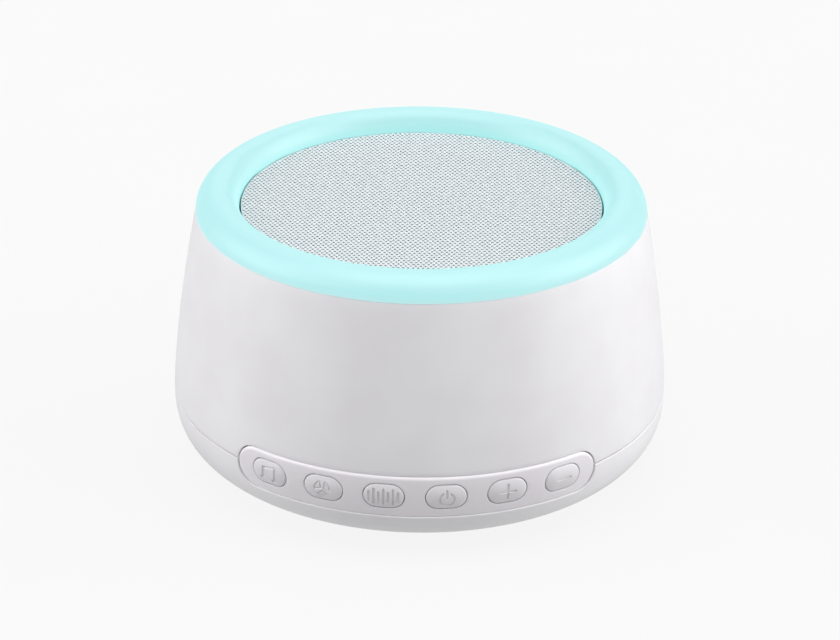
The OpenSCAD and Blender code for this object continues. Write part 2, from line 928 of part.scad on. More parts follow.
module speaker_basket() {
    window_w = 15;
    color(dark)
        difference() {
            union() {
                rotate_extrude()
                    polygon([
                        [gap_r + 0.6, basket_low], [ledge_r, basket_low],
                        [ledge_r, ledge_z - sheet], [ledge_r + 3.5, ledge_z - sheet],
                        [basket_r, ledge_z + 5], [basket_r, deck_z],
                        [speaker_r, deck_z], [speaker_r, flange_top],
                        [basket_r - sheet, flange_top], [basket_r - sheet, ledge_z + 5.4],
                        [ledge_r + 3, ledge_z], [ledge_r - sheet, ledge_z],
                        [ledge_r - sheet, basket_low + sheet], [gap_r + 0.6, basket_low + sheet]
                    ]);
                difference() {
                    around(4, ear_circle)
                        translate([0, 0, deck_z])
                            cylinder(r = ear_r, h = speaker_flange_t);
                    translate([0, 0, deck_z - over])
                        cylinder(r = basket_r + 1, h = speaker_flange_t + 2 * over);
                }
            }
            around(4, ear_circle)
                translate([0, 0, deck_z - over])
                    cylinder(r = small_screw_r + slip_fit, h = speaker_flange_t + 2 * over);
            for (turn = [45 : 90 : 315])
                rotate([0, 0, turn])
                    translate([ledge_r + 1, -window_w / 2, ledge_z + 1])
                        cube([basket_r, window_w, basket_depth - 9]);
        }
}

module speaker_top_plate() {
    color(steel)
        translate([0, 0, basket_low - plate_t])
            difference() {
                cylinder(r = plate_r, h = plate_t);
                translate([0, 0, -over])
                    cylinder(r = gap_r, h = plate_t + 2 * over);
            }
}

module speaker_magnet() {
    color(dark)
        translate([0, 0, basket_low - plate_t - magnet_t])
            difference() {
                cylinder(r = magnet_r, h = magnet_t);
                translate([0, 0, -over])
                    cylinder(r = gap_r + 1, h = magnet_t + 2 * over);
            }
}

module speaker_yoke() {
    yoke_t = 2.5;
    color(steel)
        translate([0, 0, basket_low - plate_t - magnet_t - yoke_t])
            union() {
                cylinder(r = plate_r, h = yoke_t);
                cylinder(r = pole_r, h = yoke_t + magnet_t + plate_t);
            }
}

module voice_coil() {
    color("#b87333")
        rotate_extrude()
            union() {
                translate([coil_r - 0.3, coil_low])
                    square([0.3, cone_low + 1 - coil_low]);
                translate([coil_r - 0.1, coil_low])
                    square([0.5, plate_t + cone_travel]);
            }
}

module speaker_cone() {
    cone_in = coil_r + touch / 2;
    color("#33353a")
        rotate_extrude()
            polygon([
                [cone_in, cone_low], [cone_r, flange_top - 0.5],
                [cone_r + 0.8, flange_top - 0.5], [cone_r + 0.8, flange_top - 0.1],
                [cone_r - 0.2, flange_top - 0.1], [cone_in, cone_low + 2 * cone_t]
            ]);
}

module dust_cap() {
    cap_h = 3;
    cap_r = coil_r + 1.6;
    ball_r = (cap_r * cap_r + cap_h * cap_h) / (2 * cap_h);
    cap_z = cone_low + 2 * cone_t + cone_slope * (cap_r - coil_r) + touch / 2;
    color("#1e1f22")
        translate([0, 0, cap_z + cap_h - ball_r])
            rotate_extrude()
                difference() {
                    intersection() {
                        circle(r = ball_r);
                        translate([0, ball_r - cap_h])
                            square([cap_r, cap_h]);
                    }
                    circle(r = ball_r - 0.4);
                }
}

module speaker_surround() {
    middle = cone_r + 0.2 + roll_r;
    color("#141518")
        rotate_extrude()
            union() {
                difference() {
                    translate([middle, flange_top])
                        circle(r = roll_r);
                    translate([middle, flange_top])
                        circle(r = roll_r - 0.4);
                    translate([0, flange_top - 2 * roll_r])
                        square([basket_r + 5, 2 * roll_r]);
                }
                translate([middle + roll_r - 0.4, flange_top])
                    square([1.6, 0.4]);
            }
}

module speaker_spider() {
    inner = coil_r + 0.4;
    outer = ledge_r + 0.4;
    rim_w = 1.4;
    sheet_t = 0.4;
    middle = ledge_z + 0.9;
    waves = 4;
    wave_h = 0.4;
    steps = 48;
    top = [
        for (i = [0 : steps])
            [inner + (outer - inner) * i / steps, middle + wave_h * sin(360 * waves * i / steps)]
    ];
    color("#c9a25a")
        rotate_extrude()
            polygon(concat(
                top,
                [[outer + rim_w, middle], [outer + rim_w, ledge_z], [outer, ledge_z]],
                [for (i = [steps : -1 : 0]) top[i] - [0, sheet_t]]
            ));
}

module speaker_gasket() {
    color("#1e1f22")
        translate([0, 0, flange_top])
            difference() {
                cylinder(r = speaker_r, h = 1.5);
                translate([0, 0, -over])
                    cylinder(r = basket_r + flange_w / 2, h = 1.5 + 2 * over);
            }
}

module speaker_terminals() {
    color("#b08d57")
        for (side = [-1, 1])
            translate([-terminal_out, side * 0.9 - 0.7, terminal_z])
                cube([terminal_out - basket_r - touch, 1.4, 1.2]);
}

module speaker_screws() {
    color(steel)
        around(4, ear_circle)
            translate([0, 0, flange_top])
                screw(small_screw_r, speaker_screw_len, small_head_r, small_head_h);
}

// ---- Lights
module led_board() {
    color("#e9ecec")
        translate([0, 0, deck_z])
            difference() {
                cylinder(r = led_out_r, h = led_board_t);
                translate([0, 0, -over])
                    cylinder(r = led_in_r, h = led_board_t + 2 * over);
                around(led_screw_count, led_circle, led_screw_start)
                    translate([0, 0, -over])
                        cylinder(r = led_screw_r + slip_fit, h = led_board_t + 2 * over);
            }
}

module leds() {
    led_size = [2.8, 3.5, 1];
    color(glow)
        around(led_count, led_circle, 180 / led_count)
            translate([-led_size[0] / 2, -led_size[1] / 2, deck_z + led_board_t])
                cube(led_size);
}

module led_screws() {
    color(steel)
        around(led_screw_count, led_circle, led_screw_start)
            translate([0, 0, deck_z + led_board_t])
                screw(led_screw_r, led_screw_len, led_screw_r + 0.8, 1);
}

// ---- Main board and what is on it
module main_board() {
    color(board_green)
        translate([0, 0, board_z])
            difference() {
                union() {
                    translate([-board_w / 2, -board_d / 2, 0])
                        cube([board_w, board_d, board_t]);
                    translate([-tail_w / 2, 0, 0])
                        cube([tail_w, tail_end, board_t]);
                }
                for (x = [-1, 1], y = [-1, 1])
                    translate([x * post_x, y * post_y, -over])
                        cylinder(r = small_screw_r + slip_fit, h = board_t + 2 * over);
                around(foot_count, foot_circle, foot_start)
                    translate([0, 0, -over])
                        cylinder(r = lower_pillar_r + slip_fit, h = board_t + 2 * over);
            }
}

// A flat chip with its row of legs on two sides
module chip(size, legs) {
    color(dark)
        translate([-size[0] / 2, -size[1] / 2, 0.2])
            cube([size[0], size[1], size[2] - 0.2]);
    color(steel)
        for (side = [-1, 1], i = [0 : legs - 1])
            translate([(i - (legs - 1) / 2) * size[0] / legs - 0.2, side * size[1] / 2 - 0.8, 0])
                cube([0.4, 1.6, 0.4]);
}

module control_chip() {
    translate([-6, -2, board_top])
        chip([12, 9, 1.6], 10);
}

module amplifier_chip() {
    translate([0.18 * board_w, 4, board_top])
        chip([6, 5, 1.5], 5);
}

module memory_chip() {
    translate([-0.27 * board_w, 6, board_top])
        chip([6, 5, 1.5], 4);
}

module capacitors() {
    can_r = 3.2;
    can_h = 8;
    color("#3c4a6b")
        for (place = [[0.27, -10], [0.15, -10], [-0.3, -8]])
            translate([place[0] * board_w, place[1], board_top])
                cylinder(r = can_r, h = can_h);
}

plug_h = 3.6;
plug_d = 5;
plug_w = 7;
cable_z = board_top + 1.6;

module board_connectors() {
    color("#f3efe2")
        translate([0, 0, board_top]) {
            for (side = [-1, 1])
                translate([side * (board_w - plug_d) / 2 - plug_d / 2, -plug_w / 2, 0])
                    cube([plug_d, plug_w, plug_h]);
            translate([-plug_w / 2 - 2, -board_d / 2, 0])
                cube([plug_w + 4, plug_d, plug_h]);
        }
}

module board_screws() {
    color(steel)
        for (x = [-1, 1], y = [-1, 1])
            translate([x * post_x, y * post_y, board_top])
                screw(small_screw_r, board_screw_len, small_head_r, small_head_h);
}

module power_socket() {
    color(steel)
        on_back(socket_z)
            difference() {
                translate([0, 0, socket_mouth - socket_len])
                    linear_extrude(height = socket_len)
                        pill(socket_out_w, socket_out_h);
                translate([0, 0, socket_mouth - socket_len + 1])
                    linear_extrude(height = socket_len)
                        pill(socket_w, socket_h);
            }
}

module socket_tongue() {
    tongue = [socket_w * 0.75, 0.7, 5.5];
    color(dark)
        on_back(socket_z)
            translate([-tongue[0] / 2, -tongue[1] / 2, socket_mouth - socket_len + 1])
                cube([tongue[0], tongue[1], tongue[2]]);
}

// ---- Cables, each a flat strip between a board and what it feeds
// Points are [distance from the axis, height], and the strip is turned about Z
module strip(points, width, turn) {
    rotate([0, 0, turn])
        translate([0, width / 2, 0])
            rotate([90, 0, 0])
                linear_extrude(height = width)
                    polygon(points);
}

module speaker_cable() {
    near = terminal_out - cable_t;
    low = board_top + plug_h;
    color("#b03a34")
        strip([
            [near, low], [terminal_out, low], [terminal_out, terminal_z], [near, terminal_z]
        ], cable_w, 180);
}

module led_cable() {
    far = led_circle - cable_t / 2;
    near = board_w / 2;
    bend = 2;
    color("#e8e8e8")
        strip([
            [far, deck_z], [far + cable_t, deck_z], [far + cable_t, cable_z + bend],
            [far + cable_t - bend, cable_z], [near, cable_z], [near, cable_z + cable_t],
            [far - bend, cable_z + cable_t], [far, cable_z + cable_t + bend]
        ], cable_w, 0);
}

module switch_ribbon() {
    ribbon_t = 0.4;
    ribbon_z = cable_z;
    high = key_middle - switch_board_h / 2;
    color("#d9d2c2")
        strip([
            [board_out_r - 0.3, high], [board_out_r - 0.3 - ribbon_t, high],
            [board_out_r - 0.3 - ribbon_t, ribbon_z + ribbon_t], [board_d / 2, ribbon_z + ribbon_t],
            [board_d / 2, ribbon_z], [board_out_r - 0.3, ribbon_z]
        ], plug_w, 270);
}

upper_shell();
lower_shell();
control_panel();
light_ring();
grille_mesh();
dust_cloth();
grille_frame();
feet();
base_screws();
music_button();
fan_button();
noise_button();
power_button();
volume_up_button();
volume_down_button();
music_plunger();
fan_plunger();
noise_plunger();
power_plunger();
volume_up_plunger();
volume_down_plunger();
switch_bodies();
switch_board();
switch_bracket();
bracket_screws();
speaker_basket();
speaker_yoke();
speaker_magnet();
speaker_top_plate();
voice_coil();
speaker_cone();
dust_cap();
speaker_surround();
speaker_spider();
speaker_gasket();
speaker_terminals();
speaker_screws();
led_board();
leds();
led_screws();
main_board();
control_chip();
amplifier_chip();
memory_chip();
capacitors();
board_connectors();
board_screws();
power_socket();
socket_tongue();
speaker_cable();
led_cable();
switch_ribbon();
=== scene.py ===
import bpy
import json
import math
from mathutils import Matrix, Vector


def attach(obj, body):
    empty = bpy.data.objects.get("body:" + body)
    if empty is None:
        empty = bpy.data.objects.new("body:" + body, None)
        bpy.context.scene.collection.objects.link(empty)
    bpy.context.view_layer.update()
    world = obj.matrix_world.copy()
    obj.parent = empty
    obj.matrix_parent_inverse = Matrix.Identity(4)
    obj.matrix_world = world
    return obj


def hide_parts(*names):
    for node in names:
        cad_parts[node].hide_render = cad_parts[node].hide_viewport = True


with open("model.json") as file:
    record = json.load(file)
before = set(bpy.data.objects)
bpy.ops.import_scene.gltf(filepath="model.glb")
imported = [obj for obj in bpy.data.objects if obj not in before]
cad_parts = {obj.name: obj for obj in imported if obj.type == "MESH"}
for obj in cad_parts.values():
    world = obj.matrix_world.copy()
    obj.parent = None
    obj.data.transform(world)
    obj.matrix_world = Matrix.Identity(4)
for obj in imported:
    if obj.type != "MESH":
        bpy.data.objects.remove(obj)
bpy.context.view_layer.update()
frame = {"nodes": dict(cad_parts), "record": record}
print("frame loaded")

mm = 0.001  # sizes below are in millimetres


# Outline of the casing, the same curve as the solids have
casing = {
    "bellyRadius": 59, "bellyHeight": 16.5,
    "baseRadius": 39.6, "basePower": 2.5, "footHeight": 1.5,
    "rimRadius": 53.1, "rimHeight": 62.3, "sidePower": 1.5,
    "wall": 2.4, "partHeight": 17.2, "seamWidth": 0.3, "seamDepth": 0.8,
    "deckTop": 56, "deckThickness": 2, "deckHole": 30.2, "rimWall": (60, 58), "axisHole": 0.6,
    "edge": 0.18, "rimEdge": 0.3,
    "turnSteps": 192, "outerSteps": 30, "innerSteps": 12, "baseSteps": 36,
}
baseRun = casing["bellyRadius"] - casing["baseRadius"]
baseDrop = casing["bellyHeight"] - casing["footHeight"]
sideRise = casing["rimHeight"] - casing["bellyHeight"]
sideDraw = casing["bellyRadius"] - casing["rimRadius"]


def basePoint(angle, inset=0):
    # On the rounded base, from 0 at the belly to pi / 2 on the underside
    power = casing["basePower"]
    across = math.cos(angle) ** (2 / power) if angle < math.pi / 2 - 1e-6 else 0
    down = math.sin(angle) ** (2 / power)
    lean = Vector((across ** (power - 1) / baseRun, -down ** (power - 1) / baseDrop)).normalized()
    radius = casing["baseRadius"] + baseRun * across
    return Vector((radius, casing["bellyHeight"] - baseDrop * down)) - inset * lean


def sideRadius(share):
    return casing["bellyRadius"] - sideDraw * share ** casing["sidePower"]


def sidePoint(share, inset=0):
    # On the side wall, from 0 at the belly to 1 at the rim
    slope = sideDraw * casing["sidePower"] * share ** (casing["sidePower"] - 1) / sideRise
    lean = Vector((1, slope)).normalized()
    return Vector((sideRadius(share), casing["bellyHeight"] + sideRise * share)) - inset * lean


def casingRadius(height):
    if height > casing["bellyHeight"]:
        return sideRadius((height - casing["bellyHeight"]) / sideRise)
    low = min(1, (casing["bellyHeight"] - height) / baseDrop)
    power = casing["basePower"]
    return casing["baseRadius"] + baseRun * (1 - low ** power) ** (1 / power)


# Ways of shaping that several pieces share
def deselectAll():
    if bpy.context.object and bpy.context.object.mode != "OBJECT":
        bpy.ops.object.mode_set(mode="OBJECT")
    bpy.ops.object.select_all(action="DESELECT")


def makeActive(piece):
    deselectAll()
    piece.select_set(True)
    bpy.context.view_layer.objects.active = piece


def weld(piece, reach=0.002):
    # Merges what lies together and turns all faces outwards
    makeActive(piece)
    bpy.ops.object.mode_set(mode="EDIT")
    bpy.ops.mesh.select_all(action="SELECT")
    bpy.ops.mesh.remove_doubles(threshold=reach * mm)
    bpy.ops.mesh.dissolve_degenerate(threshold=0.0005 * mm)
    bpy.ops.mesh.normals_make_consistent(inside=False)
    bpy.ops.object.mode_set(mode="OBJECT")
    return piece


def spinProfile(name, profile, steps, start=0, sweep=360, centre=(0, 0)):
    # profile is a closed loop of (radius, height), spun round an upright axis at centre
    deselectAll()
    bpy.ops.mesh.primitive_circle_add(vertices=len(profile), radius=1)
    piece = bpy.context.object
    piece.name = piece.data.name = name
    turn = math.radians(start)
    for vertex, (radius, height) in zip(piece.data.vertices, profile):
        x = centre[0] + radius * math.cos(turn)
        y = centre[1] + radius * math.sin(turn)
        vertex.co = Vector((x, y, height)) * mm
    bpy.ops.object.mode_set(mode="EDIT")
    bpy.ops.mesh.select_all(action="SELECT")
    if sweep < 360:
        bpy.ops.mesh.edge_face_add()
    bpy.ops.mesh.spin(
        steps=steps, angle=math.radians(sweep), axis=(0, 0, 1),
        center=(centre[0] * mm, centre[1] * mm, 0),
    )
    bpy.ops.object.mode_set(mode="OBJECT")
    return weld(piece)


def bentGrid(name, across, along, place):
    # A grid whose points are carried to place(column, row)
    deselectAll()
    bpy.ops.mesh.primitive_grid_add(x_subdivisions=across, y_subdivisions=along, size=2)
    piece = bpy.context.object
    piece.name = piece.data.name = name
    for vertex in piece.data.vertices:
        column = round((vertex.co.x + 1) / 2 * across)
        row = round((vertex.co.y + 1) / 2 * along)
        vertex.co = Vector(place(column, row)) * mm
    return weld(piece)


def onCircle(reach, turn):
    return (reach * math.cos(math.radians(turn)), reach * math.sin(math.radians(turn)))


def arcPath(centre, radius, start, end, steps=5):
    # Points of an arc, for a profile's rounded edge or an engraved line
    points = []
    for i in range(steps + 1):
        turn = math.radians(start + (end - start) * i / steps)
        points.append((centre[0] + radius * math.cos(turn), centre[1] + radius * math.sin(turn)))
    return points


def cut(piece, cutter, keep=False):
    makeActive(piece)
    modifier = piece.modifiers.new("cut", "BOOLEAN")
    modifier.operation = "DIFFERENCE"
    modifier.solver = "EXACT"
    modifier.object = cutter
    before = len(piece.data.polygons)
    bpy.ops.object.modifier_apply(modifier=modifier.name)
    left = len(piece.data.polygons)
    if left < before / 4:  # a cutter that folds over itself empties the piece
        print(f"{piece.name}: cut by {cutter.name} left {left} of {before} faces")
    if not keep:
        bpy.data.objects.remove(cutter)


def deleteFaces(piece, unwanted):
    makeActive(piece)
    bpy.ops.object.mode_set(mode="EDIT")
    bpy.ops.mesh.select_all(action="DESELECT")
    bpy.ops.object.mode_set(mode="OBJECT")
    for polygon in piece.data.polygons:
        polygon.select = unwanted(polygon)
    bpy.ops.object.mode_set(mode="EDIT")
    bpy.ops.mesh.delete(type="FACE")
    bpy.ops.object.mode_set(mode="OBJECT")


def joinAll(name, pieces):
    makeActive(pieces[0])
    for piece in pieces[1:]:
        piece.select_set(True)
    if len(pieces) > 1:
        bpy.ops.object.join()
    piece = bpy.context.object
    piece.name = piece.data.name = name
    return piece


def smooth(piece, angle=35):
    makeActive(piece)
    bpy.ops.object.shade_smooth_by_angle(angle=math.radians(angle))


def onFront(azimuth, height, x, y, out):
    # A point x across and y up on the front, out from the body's axis
    turn = math.radians(azimuth)
    right = x * math.cos(turn) + out * math.sin(turn)
    back = x * math.sin(turn) - out * math.cos(turn)
    return (right, back, height + y)


def pillRim(reach, arcSteps, straightSteps):
    # Goes round a pill: (place on its spine, direction away from the spine)
    rim = []
    for side, start in ((1, -90), (-1, 90)):
        for i in range(arcSteps):
            turn = math.radians(start + 180 * i / arcSteps)
            rim.append((side * reach, math.cos(turn), math.sin(turn)))
        for i in range(straightSteps):
            rim.append((side * reach * (1 - 2 * i / straightSteps), 0, side))
    return rim


def pillForm(name, rim, rows, place):
    # rows run from one closed end to the other, as (distance from the spine, depth or height)
    count = len(rim)
    return bentGrid(name, count, len(rows) - 1,
                    lambda column, row: place(rim[column % count], *rows[row]))


def flatPill(rimPoint, away):
    return rimPoint[0] + away * rimPoint[1], away * rimPoint[2]


# A cutter for an opening: its wall rolls over outwards where it leaves the skin
opening = {"deep": 9, "clear": -4, "rollSweep": 70, "rollSteps": 5}  # depths are below the skin


def rolledRows(hole, roll, past):
    rows = []
    for i in range(opening["rollSteps"] + 1):
        turn = math.radians(opening["rollSweep"] * i / opening["rollSteps"])
        rows.append((hole + roll * (1 - math.cos(turn)), roll * (1 - math.sin(turn))))
    return rows + [(rows[-1][0] + past[0], rows[-1][1] - past[1])]


def openingCutter(name, rim, hole, size, azimuth, height, skinAt):
    # size holds the roll, how far it runs past the skin, and where the cutter starts and ends
    mouth = rolledRows(hole, size["roll"], size["past"])
    rows = [(0, opening["deep"]), (hole, opening["deep"])] + mouth
    rows += [(mouth[-1][0], opening["clear"]), (0, opening["clear"])]

    def place(rimPoint, away, depth):
        x, y = flatPill(rimPoint, away)
        if depth == opening["deep"]:
            out = size["cutFrom"]
        elif depth == opening["clear"]:
            out = size["cutTo"]
        else:
            out = math.sqrt(skinAt(height + y) ** 2 - x ** 2) - depth
        return onFront(azimuth, height, x, y, out)
    return pillForm(name, rim, rows, place)


# Materials
def paint(red, green, blue):
    # From a colour as a screen shows it, 0 to 255
    def straight(value):
        value /= 255
        return value / 12.92 if value <= 0.04045 else ((value + 0.055) / 1.055) ** 2.4
    return (straight(red), straight(green), straight(blue), 1)


def newMaterial(name, roughness, metallic=0.0, ior=1.46):
    material = bpy.data.materials.new(name)
    material.use_nodes = True
    tree = material.node_tree
    tree.nodes.clear()
    output = tree.nodes.new("ShaderNodeOutputMaterial")
    shader = tree.nodes.new("ShaderNodeBsdfPrincipled")
    shader.inputs["Roughness"].default_value = roughness
    shader.inputs["Metallic"].default_value = metallic
    shader.inputs["IOR"].default_value = ior
    tree.links.new(shader.outputs["BSDF"], output.inputs["Surface"])
    place = tree.nodes.new("ShaderNodeTexCoord")
    return material, tree, shader, place.outputs["Object"]


def addNoise(tree, place, size, detail=2.0):
    # size is the width of the pattern's patches
    noise = tree.nodes.new("ShaderNodeTexNoise")
    noise.inputs["Scale"].default_value = 1 / (size * mm)
    noise.inputs["Detail"].default_value = detail
    tree.links.new(place, noise.inputs["Vector"])
    return noise.outputs["Fac"]


def addRamp(tree, factor, stops):
    ramp = tree.nodes.new("ShaderNodeValToRGB")
    ramp.color_ramp.elements[0].position, ramp.color_ramp.elements[0].color = stops[0]
    ramp.color_ramp.elements[1].position, ramp.color_ramp.elements[1].color = stops[-1]
    for position, colour in stops[1:-1]:
        ramp.color_ramp.elements.new(position).color = colour
    tree.links.new(factor, ramp.inputs["Fac"])
    return ramp.outputs["Color"]


def addRange(tree, factor, low, high, fromLow=0.3, fromHigh=0.7):
    # Noise mostly lies between 0.3 and 0.7
    spread = tree.nodes.new("ShaderNodeMapRange")
    spread.inputs["From Min"].default_value = fromLow
    spread.inputs["From Max"].default_value = fromHigh
    spread.inputs["To Min"].default_value = low
    spread.inputs["To Max"].default_value = high
    tree.links.new(factor, spread.inputs["Value"])
    return spread.outputs["Result"]


def addMath(tree, operation, first, second):
    node = tree.nodes.new("ShaderNodeMath")
    node.operation = operation
    tree.links.new(first, node.inputs[0])
    tree.links.new(second, node.inputs[1])
    return node.outputs[0]


def addBump(tree, shader, height, strength, depth):
    bump = tree.nodes.new("ShaderNodeBump")
    bump.inputs["Strength"].default_value = strength
    bump.inputs["Distance"].default_value = depth * mm
    tree.links.new(height, bump.inputs["Height"])
    tree.links.new(bump.outputs["Normal"], shader.inputs["Normal"])


def mouldedPlastic(name, dark, light, roughness, grain=0.35, strength=0.25):
    # Fine spark-eroded grain, with faint flow clouds in the colour and the gloss
    cloudSize, glossChange, grainDepth = 18, 0.03, 0.02
    material, tree, shader, place = newMaterial(name, roughness)
    clouds = addNoise(tree, place, cloudSize)
    colour = addRamp(tree, clouds, [(0.3, dark), (0.7, light)])
    gloss = addRange(tree, clouds, roughness - glossChange, roughness + glossChange)
    tree.links.new(colour, shader.inputs["Base Color"])
    tree.links.new(gloss, shader.inputs["Roughness"])
    addBump(tree, shader, addNoise(tree, place, grain, 3), strength, grainDepth)
    return material


glow = {
    "foot": 61, "crest": 67.7, "innerEnd": 46.4, "outerStart": 47.6, "haze": 0.03, "hazeSize": 9,
    "body": (0.25, 0.25, 0.255, 1), "strength": 1.0,
    "roughness": 0.38, "coat": 0.12, "coatRoughness": 0.3,
}


def glowingPlastic(name):
    # Milky ring lit from inside: palest where it meets the casing. Low on the inner wall the glow
    # fades to near black, which paints the shade in the gap beside the grille
    material, tree, shader, place = newMaterial(name, glow["roughness"])
    split = tree.nodes.new("ShaderNodeSeparateXYZ")
    tree.links.new(place, split.inputs["Vector"])
    flat = tree.nodes.new("ShaderNodeVectorMath")
    flat.operation = "MULTIPLY"
    flat.inputs[1].default_value = (1, 1, 0)
    tree.links.new(place, flat.inputs[0])
    reach = tree.nodes.new("ShaderNodeVectorMath")
    reach.operation = "LENGTH"
    tree.links.new(flat.outputs["Vector"], reach.inputs[0])
    haze = addRange(tree, addNoise(tree, place, glow["hazeSize"]), -glow["haze"], glow["haze"])
    climb = addRange(tree, split.outputs["Z"], 0, 1, glow["foot"] * mm, glow["crest"] * mm)
    lift = addMath(tree, "ADD", climb, haze)
    outer = addRamp(tree, lift, [
        (0.0, paint(60, 160, 162)), (0.2, paint(156, 210, 212)), (0.4, paint(136, 207, 208)),
        (0.54, paint(131, 203, 204)), (0.72, paint(119, 197, 198)), (0.9, paint(108, 193, 195)),
        (1.0, paint(115, 195, 196)),
    ])
    # Inner side: its first stops are painted shade, dark where the wall drops into the gap beside
    # the grille
    inner = addRamp(tree, lift, [
        (0.0, paint(8, 46, 48)), (0.24, paint(30, 110, 112)), (0.32, paint(130, 208, 207)),
        (0.45, paint(124, 204, 203)), (0.6, paint(126, 200, 199)), (0.78, paint(110, 191, 192)),
        (0.94, paint(98, 187, 188)), (1.0, paint(113, 193, 194)),
    ])
    outwards = addRange(tree, reach.outputs["Value"], 0, 1,
                        glow["innerEnd"] * mm, glow["outerStart"] * mm)
    blend = tree.nodes.new("ShaderNodeMix")
    blend.data_type = "RGBA"  # which uses inputs 6 and 7 and output 2
    tree.links.new(outwards, blend.inputs[0])
    tree.links.new(inner, blend.inputs[6])
    tree.links.new(outer, blend.inputs[7])
    tree.links.new(blend.outputs[2], shader.inputs["Emission Color"])
    shader.inputs["Base Color"].default_value = glow["body"]
    shader.inputs["Emission Strength"].default_value = glow["strength"]
    shader.inputs["Coat Weight"].default_value = glow["coat"]
    shader.inputs["Coat Roughness"].default_value = glow["coatRoughness"]
    return material


def paintedMetal(name, dark, light, roughness=0.45, speck=1.5, grain=0.15):
    material, tree, shader, place = newMaterial(name, roughness)
    colour = addRamp(tree, addNoise(tree, place, speck), [(0.3, dark), (0.7, light)])
    tree.links.new(colour, shader.inputs["Base Color"])
    addBump(tree, shader, addNoise(tree, place, grain), 0.2, 0.01)
    return material


def wovenCloth(name, dark, light, pitch, roughness=0.9, sheen=0.3):
    material, tree, shader, place = newMaterial(name, roughness)
    threads = []
    for direction in ("X", "Y"):
        wave = tree.nodes.new("ShaderNodeTexWave")
        wave.bands_direction = direction
        wave.inputs["Scale"].default_value = math.pi / (20 * pitch * mm)  # a wave is two threads
        tree.links.new(place, wave.inputs["Vector"])
        threads.append(wave.outputs["Fac"])
    weave = addMath(tree, "MULTIPLY", *threads)
    tree.links.new(addRamp(tree, weave, [(0.0, dark), (1.0, light)]), shader.inputs["Base Color"])
    addBump(tree, shader, weave, 0.6, 0.1)
    shader.inputs["Sheen Weight"].default_value = sheen
    return material


def softRubber(name, dark, light, roughness=0.75, dust=3, grain=0.3):
    material, tree, shader, place = newMaterial(name, roughness)
    colour = addRamp(tree, addNoise(tree, place, dust, 4), [(0.35, dark), (0.75, light)])
    tree.links.new(colour, shader.inputs["Base Color"])
    addBump(tree, shader, addNoise(tree, place, grain, 3), 0.3, 0.03)
    return material


def platedMetal(name, dark, light, roughness, scratch=1.2):
    # Long fine scratches across a plated or turned surface
    material, tree, shader, place = newMaterial(name, roughness, 1.0)
    stretch = tree.nodes.new("ShaderNodeMapping")
    stretch.inputs["Scale"].default_value = (1, 1, 8)
    tree.links.new(place, stretch.inputs["Vector"])
    lines = addNoise(tree, stretch.outputs["Vector"], scratch, 4)
    colour = addRamp(tree, lines, [(0.3, dark), (0.7, light)])
    gloss = addRange(tree, lines, roughness - 0.06, roughness + 0.08)
    tree.links.new(colour, shader.inputs["Base Color"])
    tree.links.new(gloss, shader.inputs["Roughness"])
    addBump(tree, shader, lines, 0.15, 0.01)
    return material


def solderMask(name, dark, light, roughness=0.35, trackLength=4):
    # Tracks show faintly through the lacquer of a circuit board
    material, tree, shader, place = newMaterial(name, roughness)
    tracks = tree.nodes.new("ShaderNodeTexBrick")
    tracks.inputs["Scale"].default_value = 1 / (trackLength * mm)
    tracks.inputs["Color1"].default_value = dark
    tracks.inputs["Color2"].default_value = light
    tracks.inputs["Mortar"].default_value = light
    tracks.inputs["Mortar Size"].default_value = 0.03
    tree.links.new(place, tracks.inputs["Vector"])
    tree.links.new(tracks.outputs["Color"], shader.inputs["Base Color"])
    addBump(tree, shader, tracks.outputs["Fac"], 0.3, 0.03)
    return material


keyWhite = mouldedPlastic("keyWhite", paint(227, 224, 228), paint(233, 231, 234), 0.45)
finishes = {
    "shell_white": mouldedPlastic("shellWhite", paint(236, 234, 237), paint(242, 241, 243), 0.42),
    "panel_white": mouldedPlastic("panelWhite", paint(237, 233, 238), paint(242, 239, 243), 0.4),
    "ring_glow": glowingPlastic("ringGlow"),
    "mesh_grey": paintedMetal("grilleGrey", paint(190, 197, 200), paint(201, 207, 210)),
    "cloth_dark": wovenCloth("grilleCloth", paint(38, 40, 44), paint(74, 78, 84), 0.5),
    "frame_dark": mouldedPlastic("blackPlastic", paint(34, 36, 40), paint(46, 48, 52), 0.5),
    "rubber": softRubber("footRubber", paint(150, 150, 153), paint(176, 176, 178)),
    "steel": platedMetal("platedSteel", paint(176, 180, 186), paint(214, 217, 221), 0.3),
    "ferrite": mouldedPlastic("ferrite", paint(44, 44, 47), paint(62, 62, 66), 0.6, 0.6, 0.5),
    "copper": platedMetal("copperWire", paint(176, 104, 56), paint(216, 142, 84), 0.3),
    "cone": softRubber("pressedPaper", paint(46, 48, 52), paint(66, 68, 73)),
    "rubber_black": softRubber("surroundRubber", paint(18, 18, 20), paint(34, 34, 37)),
    "spider_cloth": wovenCloth("spiderCloth", paint(186, 144, 78), paint(220, 184, 118), 0.7),
    "board_green": solderMask("greenBoard", paint(34, 96, 58), paint(52, 128, 80)),
    "board_white": solderMask("whiteBoard", paint(226, 229, 229), paint(240, 242, 242)),
    "led": mouldedPlastic("ledPackage", paint(196, 246, 247), paint(214, 250, 250), 0.25),
    "chip_black": mouldedPlastic("chipBlack", paint(30, 30, 33), paint(42, 42, 45), 0.55, 0.2, 0.4),
    "can_blue": mouldedPlastic("capacitorSleeve", paint(50, 64, 98), paint(70, 86, 124), 0.3),
    "plug_cream": mouldedPlastic("creamNylon", paint(236, 230, 212), paint(245, 240, 226), 0.45),
    "cable_red": softRubber("redCable", paint(166, 48, 42), paint(188, 66, 58)),
    "cable_white": softRubber("whiteCable", paint(222, 222, 222), paint(236, 236, 236)),
}
slotOf = {part["node"]: part["material_slot"] for part in frame["record"]["subparts"]}
for nodeName, node in frame["nodes"].items():
    for materialSlot in node.material_slots:
        materialSlot.material = finishes[slotOf[nodeName]]
print("materials made")


